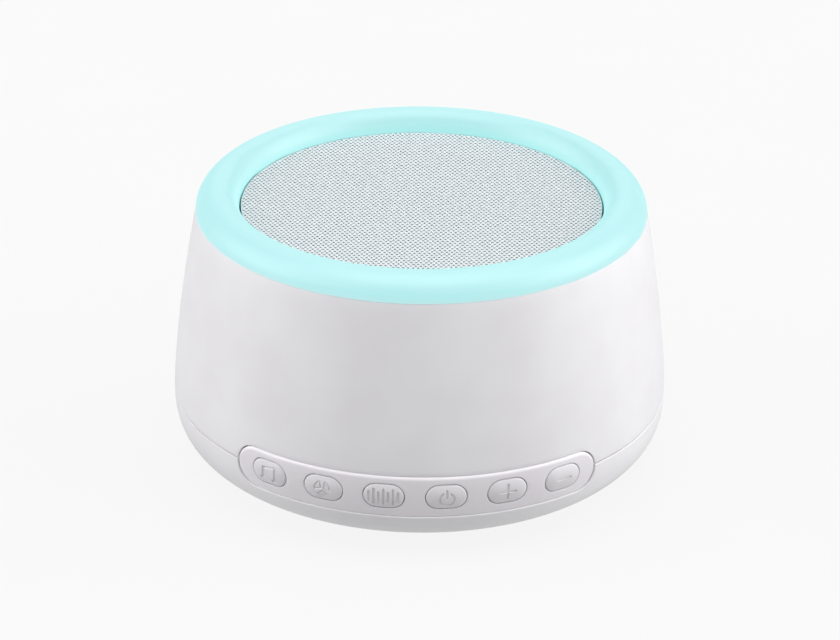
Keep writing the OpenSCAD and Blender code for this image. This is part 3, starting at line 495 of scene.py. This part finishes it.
def finish(piece, body, slot, *nodes, material=None):
    # Says what the piece is and which solids it stands for, and counts its faces and open edges
    piece.data.materials.clear()
    piece.data.materials.append(material or finishes[slot])
    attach(piece, body)
    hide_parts(*nodes)
    edges = {}
    for polygon in piece.data.polygons:
        for key in polygon.edge_keys:
            edges[key] = edges.get(key, 0) + 1
    openEdges = sum(1 for count in edges.values() if count != 2)
    piece.data.calc_loop_triangles()
    print(f"{piece.name}: {len(piece.data.loop_triangles)} triangles, {openEdges} open edges")


# Control panel: its rim follows a spine that is bent round the body
panel = {
    "height": 16.6, "half": 5.2, "end": 38.6,  # end is an azimuth on the body, in degrees
    "face": 59.12, "crown": 0.44, "lean": 0.42,
    "seat": 56.8, "seatGap": 0.1, "back": 55.6, "lip": 1.2, "gap": 0.05, "endGap": 0.4,
    "upperEdge": 1.0, "lowerEdge": 0.3, "edgeSweep": 52,
    "upperMouth": 0.12, "lowerMouth": 0.4, "mouthPast": 1.5, "mouthFlare": 0.6,
    "arcSteps": 28, "straightSteps": 64, "faceSteps": 8,
}


def frontPoint(rimPoint, away, radiusAt):
    # A point on the front, away from the panel's spine; radiusAt gives the surface at a height
    azimuth, acrossShare, upShare = rimPoint
    across = away * acrossShare
    height = panel["height"] + away * upShare
    out = math.sqrt(radiusAt(height) ** 2 - across ** 2)
    return onFront(azimuth, height, across, 0, out)


def panelRadius(height):
    # Stands proud of the casing at the top and comes level with it at the bottom
    share = (height - panel["height"]) / panel["half"]
    return panel["face"] + panel["lean"] * share - panel["crown"] * share ** 2


panelRim = pillRim(panel["end"], panel["arcSteps"], panel["straightSteps"])
apertureEnd = panel["end"] + math.degrees(panel["endGap"] / panel["face"])
apertureRim = pillRim(apertureEnd, panel["arcSteps"], panel["straightSteps"])


def apertureCutter():
    # Cuts the opening for the panel, with a wider seat behind it for the panel's flange
    half = panel["half"] + panel["gap"]
    wide = half + panel["lip"]
    seat = casing["bellyRadius"] - panel["seat"]
    slope = math.radians(opening["rollSweep"])
    past = (panel["mouthPast"] * math.sin(slope), panel["mouthPast"] * math.cos(slope))
    rows = [(0, opening["deep"]), (wide, opening["deep"]), (wide, seat), (half, seat)]
    rows += rolledRows(half, 1, past)
    rows += [(half + panel["mouthFlare"], opening["clear"]), (0, opening["clear"])]

    def place(rimPoint, away, depth):
        if depth >= seat or depth == opening["clear"]:
            return frontPoint(rimPoint, away, lambda height: casing["bellyRadius"] - depth)
        # The mouth is rolled over more at the bottom, where it catches the light
        lower = 0.5 - rimPoint[2] / 2
        size = panel["upperMouth"] + (panel["lowerMouth"] - panel["upperMouth"]) * lower
        reach = half + (away - half) * size
        return frontPoint(rimPoint, reach, lambda height: casingRadius(height) - depth * size)
    return pillForm("apertureCutter", apertureRim, rows, place)


# Upper casing, with the deck that carries the speaker
def innerRadius(height):
    return casingRadius(height) - casing["wall"]


edge, rimEdge = casing["edge"], casing["rimEdge"]
partHeight, rimHeight, deckTop = casing["partHeight"], casing["rimHeight"], casing["deckTop"]
deckLow = deckTop - casing["deckThickness"]
lowest = (partHeight - casing["bellyHeight"]) / sideRise
outerSide = [tuple(sidePoint(lowest + (1 - lowest) * i / casing["outerSteps"]))
             for i in range(1, casing["outerSteps"])]
innerSide = [tuple(sidePoint(lowest + (1 - lowest) * i / casing["innerSteps"], casing["wall"]))
             for i in range(casing["innerSteps"])]
upperProfile = (
    arcPath((casingRadius(partHeight) - edge, partHeight + edge), edge, -90, 0, 4)
    + outerSide
    + arcPath((casing["rimRadius"] - rimEdge, rimHeight - rimEdge), rimEdge, 8, 90)
    + [(innerRadius(height), height) for height in (rimHeight, *casing["rimWall"], deckTop)]
    + [(casing["deckHole"], deckTop), (casing["deckHole"], deckLow)]
    + [(innerRadius(deckLow), deckLow)]
    + [(radius, height) for radius, height in reversed(innerSide) if height < deckLow - 1]
)
upperCasing = spinProfile("upperCasing", upperProfile, casing["turnSteps"])
aperture = apertureCutter()
cut(upperCasing, aperture, keep=True)

# Pillars take the screws of the casing, bosses the small screws inside it
pillar = {
    "turns": (45, 135, 225, 315), "circle": 34.0, "hole": 1.45, "chamfer": 0.2, "overlap": 0.6,
    "upperRadius": 3.6, "upperLow": 14, "lowerRadius": 4.2, "lowerTop": 13.9, "lowerBase": 3.0,
    "turnSteps": 32,
}
boss = {
    "hole": 1.05, "chamfer": 0.1, "low": 2.7, "turnSteps": 28,
    "speakerTurns": (0, 90, 180, 270), "speakerCircle": 35.5,
    "speakerRadius": 2.6, "speakerLow": 48,
    "ledTurns": (60, 180, 300), "ledCircle": 47.5, "ledRadius": 2.1, "ledLow": 51,
    "boardAcross": 28.5, "boardAlong": 15.04, "boardRadius": 2.6, "boardTop": 7.5,
    "lugTurns": (220, 320), "lugCircle": 42, "lugRadius": 3.2, "lugTop": 11.1,
}


def hollowPost(spot, radius, low, high):
    chamfer = boss["chamfer"]
    return spinProfile("post", [
        (boss["hole"], low), (radius - chamfer, low), (radius, low + chamfer),
        (radius, high - chamfer), (radius - chamfer, high), (boss["hole"], high),
    ], boss["turnSteps"], centre=spot)


postTop = deckLow + pillar["overlap"]
posts = [hollowPost(onCircle(boss["speakerCircle"], turn), boss["speakerRadius"],
                    boss["speakerLow"], postTop) for turn in boss["speakerTurns"]]
posts += [hollowPost(onCircle(boss["ledCircle"], turn), boss["ledRadius"],
                     boss["ledLow"], postTop) for turn in boss["ledTurns"]]
for turn in pillar["turns"]:
    radius, chamfer, low = pillar["upperRadius"], pillar["chamfer"], pillar["upperLow"]
    posts.append(spinProfile("pillar", [
        (pillar["hole"], low), (radius - chamfer, low), (radius, low + chamfer),
        (radius, postTop), (pillar["hole"], postTop),
    ], pillar["turnSteps"], centre=onCircle(pillar["circle"], turn)))
upperCasing = joinAll("upperCasing", [upperCasing] + posts)
smooth(upperCasing)
finish(upperCasing, "casing", "shell_white", "upper_shell")

# Lower casing, with the tongue that reaches up inside the seam
tongue = {"outer": 0.1, "inner": 1.3, "rise": 2.5, "root": 2.4}  # inwards from the wall, up, down
seamLow = partHeight - casing["seamWidth"]
topRadius = casingRadius(seamLow)
seamBack = topRadius - casing["seamDepth"]
tongueOuter = topRadius - casing["wall"] - tongue["outer"]
tongueInner = topRadius - casing["wall"] - tongue["inner"]
tongueTop = partHeight + tongue["rise"]
baseAngles = [math.pi / 2 * i / casing["baseSteps"] for i in range(casing["baseSteps"] + 1)]
lowerProfile = (
    [(casing["axisHole"], casing["footHeight"])]
    + [tuple(basePoint(angle)) for angle in reversed(baseAngles)]
    + [(topRadius, seamLow - edge)]
    + arcPath((topRadius - edge, seamLow - edge), edge, 20, 90, 3)
    + [(seamBack, seamLow), (seamBack, partHeight), (tongueOuter, partHeight),
       (tongueOuter, tongueTop), (tongueInner, tongueTop), (tongueInner, seamLow - tongue["root"])]
    + [tuple(basePoint(angle, casing["wall"])) for angle in baseAngles[::2]]
    + [(casing["axisHole"], casing["footHeight"] + casing["wall"])]
)
lowerCasing = spinProfile("lowerCasing", lowerProfile, casing["turnSteps"])


def nearAxis(polygon):
    spots = [lowerCasing.data.vertices[i].co for i in polygon.vertices]
    return all(math.hypot(spot.x, spot.y) < (casing["axisHole"] + 0.1) * mm for spot in spots)


deleteFaces(lowerCasing, nearAxis)
makeActive(lowerCasing)
bpy.ops.object.mode_set(mode="EDIT")
bpy.ops.mesh.select_all(action="SELECT")
bpy.ops.mesh.fill_holes(sides=0)
bpy.ops.mesh.normals_make_consistent(inside=False)
bpy.ops.object.mode_set(mode="OBJECT")
cut(lowerCasing, aperture)
print("casings shaped")

foot = {
    "radius": 5, "recess": 5.1, "sink": 0.6, "headHole": 2.9, "headTop": 4.3, "shankHole": 1.7,
    "cutBelow": 1, "cutTop": 20, "clear": 0.01, "ledge": 0.2, "corner": 0.6, "chamfer": 0.1,
    "turnSteps": 64, "recessSteps": 48,
    "tread": [
        (0.01, 0.25), (1.5, 0.25), (1.7, 0), (2.6, 0), (2.8, 0.2), (3.1, 0.2), (3.3, 0), (4.4, 0),
    ],
}
footTop = casing["footHeight"] + foot["sink"]
posts = [hollowPost((side * boss["boardAcross"], along * boss["boardAlong"]), boss["boardRadius"],
                    boss["low"], boss["boardTop"]) for side in (-1, 1) for along in (-1, 1)]
posts += [hollowPost(onCircle(boss["lugCircle"], turn), boss["lugRadius"],
                     boss["low"], boss["lugTop"]) for turn in boss["lugTurns"]]
recesses = []
for turn in pillar["turns"]:
    spot = onCircle(pillar["circle"], turn)
    below = casing["footHeight"] - foot["cutBelow"]
    recesses.append(spinProfile("recess", [
        (0, below), (foot["recess"], below), (foot["recess"], footTop), (foot["headHole"], footTop),
        (foot["headHole"], foot["headTop"]), (foot["shankHole"], foot["headTop"]),
        (foot["shankHole"], foot["cutTop"]), (0, foot["cutTop"]),
    ], foot["recessSteps"], centre=spot))
    shank, head = foot["shankHole"] + foot["clear"], foot["headHole"] + foot["clear"]
    posts.append(spinProfile("post", [
        (shank, foot["headTop"] + foot["ledge"]), (shank, pillar["lowerTop"]),
        (pillar["lowerRadius"], pillar["lowerTop"]), (pillar["lowerRadius"], pillar["lowerBase"]),
        (head, pillar["lowerBase"]), (head, foot["headTop"] + foot["ledge"]),
    ], pillar["turnSteps"], centre=spot))
cut(lowerCasing, joinAll("recesses", recesses))

# Power socket in the back, and its hole
socket = {
    "height": 10.75, "reach": 2.85, "outer": 1.65, "inner": 1.3, "mouth": 57.37, "length": 9,
    "back": 1, "chamfer": 0.1, "lead": 0.12, "arcSteps": 16, "straightSteps": 4,
    "gap": 0.3, "roll": 0.4, "past": (0.5, 0.2), "cutFrom": 46, "cutTo": 62,
}
socketRim = pillRim(socket["reach"], socket["arcSteps"], socket["straightSteps"])
cut(lowerCasing, openingCutter("socketCutter", socketRim, socket["outer"] + socket["gap"], socket,
                               180, socket["height"], casingRadius))
lowerCasing = joinAll("lowerCasing", [lowerCasing] + posts)
smooth(lowerCasing)
finish(lowerCasing, "casing", "shell_white", "lower_shell")

socketEnd = socket["mouth"] - socket["length"]
socketFloor = socketEnd + socket["back"]
outer, inner, chamfer = socket["outer"], socket["inner"], socket["chamfer"]
leadIn = socket["mouth"] - socket["lead"]
powerSocket = pillForm("powerSocket", socketRim, [
    (0, socketEnd), (outer - chamfer, socketEnd), (outer, socketEnd + chamfer),
    (outer, leadIn), (outer - chamfer, socket["mouth"]),
    (inner + chamfer, socket["mouth"]), (inner, leadIn), (inner, socketFloor), (0, socketFloor),
], lambda rimPoint, away, out: onFront(180, socket["height"], *flatPill(rimPoint, away), out))
smooth(powerSocket)
finish(powerSocket, "casing", "steel", "power_socket")
print("socket and casings done")

# Rubber feet with a shallow ringed tread
footProfile = (
    foot["tread"]
    + arcPath((foot["radius"] - foot["corner"], foot["corner"]), foot["corner"], -75, 0)
    + [(foot["radius"], footTop - foot["chamfer"]), (foot["radius"] - foot["chamfer"], footTop)]
    + [(foot["tread"][0][0], footTop)]
)
feet = joinAll("feet", [
    spinProfile("foot", footProfile, foot["turnSteps"], centre=onCircle(pillar["circle"], turn))
    for turn in pillar["turns"]
])
weld(feet, 0.03)  # closes the pinholes on their axes
smooth(feet)
finish(feet, "casing", "rubber", "feet")

# Buttons
button = {
    "names": ["music", "fan", "noise", "power", "volume_up", "volume_down"], "pitch": 13.8,
    "middle": 16.8, "width": 9.3, "height": 6.2, "top": 59.6, "crown": 0.55, "edge": 0.28,
    "flange": 0.8, "flangeTop": 55.0, "flangeBack": 54.2,
    "stemRadius": 1.5, "stemBack": 52.4, "stemChamfer": 0.15, "stemOverlap": 0.3, "stemSteps": 32,
    "gap": 0.16, "roll": 0.18, "past": (0.3, 0.11), "cutFrom": 53, "cutTo": 62,
    "arcSteps": 24, "straightSteps": 12, "crownSteps": 22, "edgeSteps": 8,
}
buttonHalf = button["height"] / 2
buttonReach = (button["width"] - button["height"]) / 2
buttonRim = pillRim(buttonReach, button["arcSteps"], button["straightSteps"])
azimuths = [(i - 2.5) * button["pitch"] for i in range(len(button["names"]))]

# The panel's rows: 0 to 1 on its face, 1 to 2 round its edge, then its flange and its back
flangeEnd = panel["half"] + panel["lip"]
seatDepth = panel["face"] - panel["seat"] + panel["seatGap"]
backDepth = panel["face"] - panel["back"]
panelRows = [(i / panel["faceSteps"], 0) for i in range(2 * panel["faceSteps"] + 1)] + [
    (panel["half"], seatDepth), (flangeEnd, seatDepth), (flangeEnd, backDepth), (0, backDepth),
]


def panelPlace(rimPoint, away, depth):
    if depth:
        return frontPoint(rimPoint, away, lambda height: panel["face"] - depth)
    # The edge is softest at the top
    upper = 0.5 + rimPoint[2] / 2
    size = panel["lowerEdge"] + (panel["upperEdge"] - panel["lowerEdge"]) * upper
    sweep = math.radians(panel["edgeSweep"])
    flat = panel["half"] - size * math.sin(sweep)
    turn = sweep * max(0, away - 1)
    reach = flat * min(1, away) + size * math.sin(turn)
    sunk = size * (1 - math.cos(turn))
    return frontPoint(rimPoint, reach, lambda height: panelRadius(height) - sunk)


controlPanel = pillForm("controlPanel", panelRim, panelRows, panelPlace)
for azimuth in azimuths:
    cut(controlPanel, openingCutter("holeCutter", buttonRim, buttonHalf + button["gap"], button,
                                    azimuth, button["middle"], panelRadius))
smooth(controlPanel)
finish(controlPanel, "casing", "panel_white", "control_panel")
print("panel cut for its buttons")

# Engraved symbols, as lines that are cut into the caps
symbol = {
    "stroke": 0.32, "fineStroke": 0.26, "sides": 12, "arcSteps": 24,
    "plus": 3.6, "barPitch": 1.11, "bars": (1.15, 1.85, 1.15, 1.85, 1.15, 1.85, 1.15),
    "ringCentre": (0.1, -0.45), "ringRadius": 1.65, "ringSweep": (122, 418), "pin": (-0.2, 1.75),
    "blades": (30, 150, 270), "bladeReach": 1.85, "bladeHalf": 38, "tipSteps": 10, "hub": 0.4,
    "stems": ((-1.45, -1.35, 1.3), (1.8, -1.65, 1.75)),  # across, low, high
    "heads": ((-1.8, -1.4), (1.4, -1.7)), "headRadius": 0.25, "headSteps": 12,
}


def linePath(start, end):
    middle = ((start[0] + end[0]) / 2, (start[1] + end[1]) / 2)
    return [start, middle, end]


def strokesOf(name):
    half = symbol["plus"] / 2
    across, upright = linePath((-half, 0), (half, 0)), linePath((0, -half), (0, half))
    if name == "volume_up":
        return [across, upright]
    if name == "volume_down":
        return [across]
    if name == "noise":
        bars = [((i - 3) * symbol["barPitch"], tall) for i, tall in enumerate(symbol["bars"])]
        return [linePath((x, -tall), (x, tall)) for x, tall in bars]
    if name == "power":
        x, (low, high) = symbol["ringCentre"][0], symbol["pin"]
        ringPath = arcPath(symbol["ringCentre"], symbol["ringRadius"], *symbol["ringSweep"],
                           symbol["arcSteps"])
        return [ringPath, linePath((x, low), (x, high))]
    if name == "fan":
        blades = []
        for aim in symbol["blades"]:  # three leaves round the hub
            hub = onCircle(symbol["hub"], aim)
            tip = arcPath((0, 0), symbol["bladeReach"], aim - symbol["bladeHalf"],
                          aim + symbol["bladeHalf"], symbol["tipSteps"])
            blades += [linePath(hub, tip[0]), tip, linePath(tip[-1], hub)]
        return blades
    (left, leftLow, leftHigh), (right, rightLow, rightHigh) = symbol["stems"]
    note = [
        linePath((left, leftLow), (left, leftHigh)),
        linePath((right, rightLow), (right, rightHigh)),
        linePath((left, leftHigh), (right, rightHigh)),
    ]
    for head in symbol["heads"]:
        note.append(arcPath(head, symbol["headRadius"], 0, 360, symbol["headSteps"]))
    return note


def followPanel(y):
    # How far the panel's face moves in or out at y above the middle of a cap
    return panelRadius(button["middle"] + y) - panelRadius(button["middle"])


def strokeCutter(path, radius):
    # A round-ended bar that follows the cap's bulge
    closed = math.dist(path[0], path[-1]) < 1e-6
    spots = [Vector(spot) for spot in path]
    rows = []
    for i, spot in enumerate(spots):
        before = spots[-2] if closed and i == 0 else spots[max(0, i - 1)]
        after = spots[1] if closed and i == len(spots) - 1 else spots[min(len(spots) - 1, i + 1)]
        rows.append((spot, (after - before).normalized(), 1.0))
    if not closed:
        first, last = rows[0][1], rows[-1][1]
        for turn in (30, 60, 90):
            reach, share = radius * math.sin(math.radians(turn)), abs(math.cos(math.radians(turn)))
            rows.insert(0, (spots[0] - reach * first, first, share))
            rows.append((spots[-1] + reach * last, last, share))

    def place(column, row):
        centre, along, share = rows[row]
        turn = 2 * math.pi * column / symbol["sides"]
        across = Vector((-along.y, along.x)) * radius * share * math.cos(turn)
        spine = max(-buttonReach, min(buttonReach, centre.x))
        away = math.hypot(centre.x - spine, centre.y)
        surface = button["top"] + followPanel(centre.y) - button["crown"] * (away / buttonHalf) ** 2
        return (centre.x + across.x, centre.y + across.y, surface + radius * share * math.sin(turn))
    return bentGrid("stroke", symbol["sides"], len(rows) - 1, place)


def capTopRows():
    # From the middle of the cap out, close together where its rim turns over
    flat = buttonHalf - button["edge"]
    places = [flat * i / button["crownSteps"] for i in range(button["crownSteps"])]
    for i in range(button["edgeSteps"] + 1):
        places.append(flat + button["edge"] * math.sin(math.pi / 2 * i / button["edgeSteps"]))
    rows = []
    for place in places:
        past = max(0, place - flat)
        rimDrop = button["edge"] - math.sqrt(max(0, button["edge"] ** 2 - past ** 2))
        rows.append((place, button["top"] - button["crown"] * (place / buttonHalf) ** 2 - rimDrop))
    return rows


def capPlace(rimPoint, away, out):
    x, y = flatPill(rimPoint, away)
    return (x, y, out + followPanel(y) if out > button["flangeTop"] else out)


flangeHalf = buttonHalf + button["flange"]
stemTop = button["flangeBack"] + button["stemOverlap"]
for name, azimuth in zip(button["names"], azimuths):
    cap = pillForm(name + "Button", buttonRim, [
        (0, button["flangeBack"]), (flangeHalf, button["flangeBack"]),
        (flangeHalf, button["flangeTop"]), (buttonHalf, button["flangeTop"]),
    ] + list(reversed(capTopRows())), capPlace)
    for path in strokesOf(name):
        cut(cap, strokeCutter(path, symbol["fineStroke" if name == "fan" else "stroke"]))
    stem = spinProfile("stem", [
        (0, button["stemBack"]), (button["stemRadius"] - button["stemChamfer"], button["stemBack"]),
        (button["stemRadius"], button["stemBack"] + button["stemChamfer"]),
        (button["stemRadius"], stemTop), (0, stemTop),
    ], button["stemSteps"])
    cap = joinAll(name + "Button", [cap, stem])
    for vertex in cap.data.vertices:
        vertex.co = Vector(onFront(azimuth, button["middle"], *(vertex.co / mm))) * mm
    smooth(cap, angle=40)
    finish(cap, name + "_key", "panel_white", name + "_button", material=keyWhite)
print("buttons engraved")

# Light ring: two quarter ellipses meet at the crest, over a skirt and a seating lip
ring = {
    "crest": 47, "rise": 5.4, "inner": 42.85, "wall": 1.8, "skirtGap": 0.1,
    "lipOuter": 50.3, "lipInner": 49.0, "lipTop": 1, "lipLow": 1.5,
    "arcSteps": 16, "turnSteps": 192,
}
hook = {
    "turns": (30, 120, 210, 300), "sweep": 8, "steps": 6, "inner": 42.9, "outer": 45.2,
    "stem": 44.3, "nose": 44.8, "gap": 0.1, "slant": 0.7, "depth": 1.2, "above": 1,
}


def ringCurve(less):
    # The ring's outside, or its inside when less is the wall
    points = []
    for i in range(2 * ring["arcSteps"] + 1):
        turn = math.pi * i / (2 * ring["arcSteps"])
        outside = i <= ring["arcSteps"]
        reach = casing["rimRadius"] - ring["crest"] if outside else ring["crest"] - ring["inner"]
        points.append((ring["crest"] + (reach - less) * math.cos(turn),
                       rimHeight + (ring["rise"] - less) * math.sin(turn)))
    return points


skirtLow = deckTop + ring["skirtGap"]
innerRing = [point for point in ringCurve(ring["wall"])
             if point[0] < ring["crest"] or point[1] > rimHeight + ring["lipTop"]]
ringProfile = ringCurve(0) + [
    (ring["inner"], skirtLow), (ring["inner"] + ring["wall"], skirtLow),
] + list(reversed(innerRing)) + [
    (ring["lipInner"], rimHeight + ring["lipTop"]), (ring["lipInner"], rimHeight - ring["lipLow"]),
    (ring["lipOuter"], rimHeight - ring["lipLow"]), (ring["lipOuter"], rimHeight),
]
lightRing = spinProfile("lightRing", ringProfile, ring["turnSteps"])
catch = deckLow - hook["gap"]
hooks = [spinProfile("hook", [
    (hook["inner"], catch - hook["depth"]), (hook["nose"], catch - hook["depth"]),
    (hook["outer"], catch - hook["slant"]), (hook["outer"], catch), (hook["stem"], catch),
    (hook["stem"], deckTop + hook["above"]), (hook["inner"], deckTop + hook["above"]),
], hook["steps"], turn - hook["sweep"] / 2, hook["sweep"]) for turn in hook["turns"]]
lightRing = joinAll("lightRing", [lightRing] + hooks)
smooth(lightRing)
finish(lightRing, "casing", "ring_glow", "light_ring")
print("light ring done")

# Grille: a perforated sheet whose edge is rolled down inside the ring
grille = {
    "radius": 42.5, "top": 63.15, "sheet": 0.6, "skirt": 2.0, "bend": 0.25, "overlap": 0.02,
    "pitch": 1.133, "hole": 0.36, "field": 42.2, "whole": 40.4, "cutWidth": 4, "cutHalf": 2,
    "turn": -1.1, "turnSteps": 180,
}
pitch = grille["pitch"]
rowStep = pitch * math.sqrt(3) / 2
cellRadius = pitch / math.sqrt(3)


def hexCell(name):
    # One cell of the sheet: a hexagon with its hole cut out of the middle
    deselectAll()
    bpy.ops.mesh.primitive_circle_add(vertices=6, radius=cellRadius * mm, fill_type="NGON")
    cell = bpy.context.object
    cell.name = name
    bpy.ops.object.mode_set(mode="EDIT")
    bpy.ops.mesh.select_all(action="SELECT")
    bpy.ops.mesh.inset(thickness=(cellRadius - grille["hole"]) * math.cos(math.pi / 6) * mm)
    bpy.ops.mesh.delete(type="FACE")
    bpy.ops.object.mode_set(mode="OBJECT")
    return cell


def hexField(name, nearest, furthest):
    # Cells on a grid of triangles, kept where their centres lie between two radii
    across = math.ceil(furthest / pitch) + 1
    rows = 2 * math.ceil(furthest / rowStep / 2)
    first, second = hexCell(name), hexCell(name)
    for vertex in second.data.vertices:
        vertex.co += Vector((pitch / 2, rowStep, 0)) * mm
    field = joinAll(name, [first, second])
    for vertex in field.data.vertices:
        vertex.co += Vector((-across * pitch, -rows * rowStep, grille["top"])) * mm
    sideways, backwards = (pitch * mm, 0, 0), (0, 2 * rowStep * mm, 0)
    for offset, count in ((sideways, 2 * across + 1), (backwards, rows + 1)):
        array = field.modifiers.new("repeat", "ARRAY")
        array.use_relative_offset = False
        array.use_constant_offset = True
        array.constant_offset_displace = offset
        array.count = count
        makeActive(field)
        bpy.ops.object.modifier_apply(modifier=array.name)

    def outside(polygon):
        row = round(polygon.center.y / mm / rowStep)
        shift = (row % 2) / 2
        column = round(polygon.center.x / mm / pitch - shift) + shift
        return not nearest <= math.hypot(column * pitch, row * rowStep) < furthest
    deleteFaces(field, outside)
    weld(field)
    thicken = field.modifiers.new("thicken", "SOLIDIFY")
    thicken.thickness = grille["sheet"] * mm
    thicken.offset = -1
    bpy.ops.object.modifier_apply(modifier=thicken.name)
    return field


# Only the outermost cells are trimmed, so the core needs no cut
core = hexField("grilleCore", 0, grille["whole"])
border = hexField("grilleBorder", grille["whole"], grille["field"] + 1)
cutOuter = grille["field"] + grille["cutWidth"]
cutLow, cutHigh = grille["top"] - grille["cutHalf"], grille["top"] + grille["cutHalf"]
cut(border, spinProfile("borderCutter", [
    (grille["field"], cutLow), (cutOuter, cutLow), (cutOuter, cutHigh), (grille["field"], cutHigh),
], grille["turnSteps"]))
bend, rimInner = grille["bend"], grille["field"] - grille["overlap"]
skirtEnd = grille["top"] - grille["skirt"]
rimProfile = arcPath((grille["radius"] - bend, grille["top"] - bend), bend, 90, 0)
rimProfile += [(grille["radius"], skirtEnd), (rimInner, skirtEnd), (rimInner, grille["top"])]
grilleRim = spinProfile("grilleRim", rimProfile, grille["turnSteps"])
smooth(grilleRim)
grilleMesh = joinAll("grilleMesh", [core, border, grilleRim])
cosTurn, sinTurn = math.cos(math.radians(grille["turn"])), math.sin(math.radians(grille["turn"]))
for vertex in grilleMesh.data.vertices:
    x, y = vertex.co.x, vertex.co.y
    vertex.co.x, vertex.co.y = x * cosTurn - y * sinTurn, x * sinTurn + y * cosTurn
finish(grilleMesh, "casing", "mesh_grey", "grille_mesh")
print("grille perforated")

# Acoustic cloth, stretched flat over the grille frame
cloth = {"radius": 41.6, "low": 61.95, "thickness": 0.3, "edge": 0.1, "rings": 12, "turnSteps": 120}
clothTop = cloth["low"] + cloth["thickness"]
reaches = [cloth["radius"] * i / cloth["rings"] for i in range(cloth["rings"])]
reaches.append(cloth["radius"] - cloth["edge"])
clothProfile = [(reach, cloth["low"]) for reach in reaches]
clothProfile.append((cloth["radius"], cloth["low"] + cloth["thickness"] / 2))
clothProfile += [(reach, clothTop) for reach in reversed(reaches)]
grilleCloth = spinProfile("grilleCloth", clothProfile, cloth["turnSteps"])
smooth(grilleCloth)
finish(grilleCloth, "casing", "cloth_dark", "dust_cloth")
print("cloth stretched")


# Floor, light and camera
studio = {
    "floorSize": 8000, "floorGlow": 0.87, "around": 0.23,
    "softBoxes": [  # azimuth from the front, elevation, inner and outer half angle, strength
        (88, 28, 12, 40, 3.2), (-85, 28, 12, 40, 2.5), (0, 90, 10, 40, 2.8),
        (0, 15, 5, 50, 0.1), (180, 12, 10, 55, 0.25), (0, -90, 0, 90, 0.53),
    ],
    "distance": 750, "target": (-0.074, 0, 32.31), "sensor": 36, "clipEnd": 50000,
    "focal": 3129.3, "pictureWidth": 840,  # both in pixels
    "rise": 0.4569, "turn": math.radians(0.75), "roll": 0.0109,  # in radians
}
deselectAll()
bpy.ops.mesh.primitive_grid_add(x_subdivisions=8, y_subdivisions=8, size=studio["floorSize"] * mm)
floor = bpy.context.object
floor.name = "floor"
floorMaterial, floorTree, floorShader, floorPlace = newMaterial("floorPaper", 0.9)
floorTone = addNoise(floorTree, floorPlace, 60)
floorColour = addRamp(floorTree, floorTone, [(0.3, paint(62, 62, 62)), (0.7, paint(64, 64, 64))])
floorTree.links.new(floorColour, floorShader.inputs["Base Color"])
floorShader.inputs["Specular IOR Level"].default_value = 0.1
floorShader.inputs["Emission Color"].default_value = (1, 1, 1, 1)
floorShader.inputs["Emission Strength"].default_value = studio["floorGlow"]
floor.visible_diffuse = False
floor.visible_glossy = False
floor.data.materials.append(floorMaterial)

# Each soft box fades out from its middle, over an even light from all round
world = bpy.data.worlds.new("softBox")
bpy.context.scene.world = world
world.use_nodes = True
tree = world.node_tree
background = tree.nodes["Background"]
direction = tree.nodes.new("ShaderNodeTexCoord")
total = tree.nodes.new("ShaderNodeValue").outputs[0]
total.default_value = studio["around"]
for azimuth, elevation, inside, outside, strength in studio["softBoxes"]:
    side, level = math.radians(azimuth), math.radians(elevation)
    nearness = tree.nodes.new("ShaderNodeVectorMath")
    nearness.operation = "DOT_PRODUCT"
    nearness.inputs[1].default_value = (
        math.sin(side) * math.cos(level), -math.cos(side) * math.cos(level), math.sin(level))
    tree.links.new(direction.outputs["Generated"], nearness.inputs[0])
    spread = tree.nodes.new("ShaderNodeMapRange")
    spread.interpolation_type = "SMOOTHSTEP"
    spread.inputs["From Min"].default_value = math.cos(math.radians(outside))
    spread.inputs["From Max"].default_value = math.cos(math.radians(inside))
    spread.inputs["To Min"].default_value = 0
    spread.inputs["To Max"].default_value = strength
    tree.links.new(nearness.outputs["Value"], spread.inputs["Value"])
    total = addMath(tree, "ADD", total, spread.outputs["Result"])
tree.links.new(total, background.inputs["Strength"])
background.inputs["Color"].default_value = (1, 1, 1, 1)

camera = bpy.data.objects.new("camera", bpy.data.cameras.new("camera"))
bpy.context.scene.collection.objects.link(camera)
bpy.context.scene.camera = camera
camera.data.sensor_width = studio["sensor"]
camera.data.lens = studio["sensor"] * studio["focal"] / studio["pictureWidth"]
camera.data.clip_end = studio["clipEnd"] * mm
rise, turn, roll = studio["rise"], studio["turn"], studio["roll"]
back = Vector((math.sin(turn) * math.cos(rise), -math.cos(turn) * math.cos(rise), math.sin(rise)))
right = Vector((math.cos(turn), math.sin(turn), 0))
up = back.cross(right)
aim = Matrix((
    math.cos(roll) * right + math.sin(roll) * up,
    -math.sin(roll) * right + math.cos(roll) * up,
    back,
)).transposed()
stand = (Vector(studio["target"]) + studio["distance"] * back) * mm
camera.matrix_world = Matrix.Translation(stand) @ aim.to_4x4()

bpy.context.scene.view_settings.view_transform = "Standard"
print("studio ready")
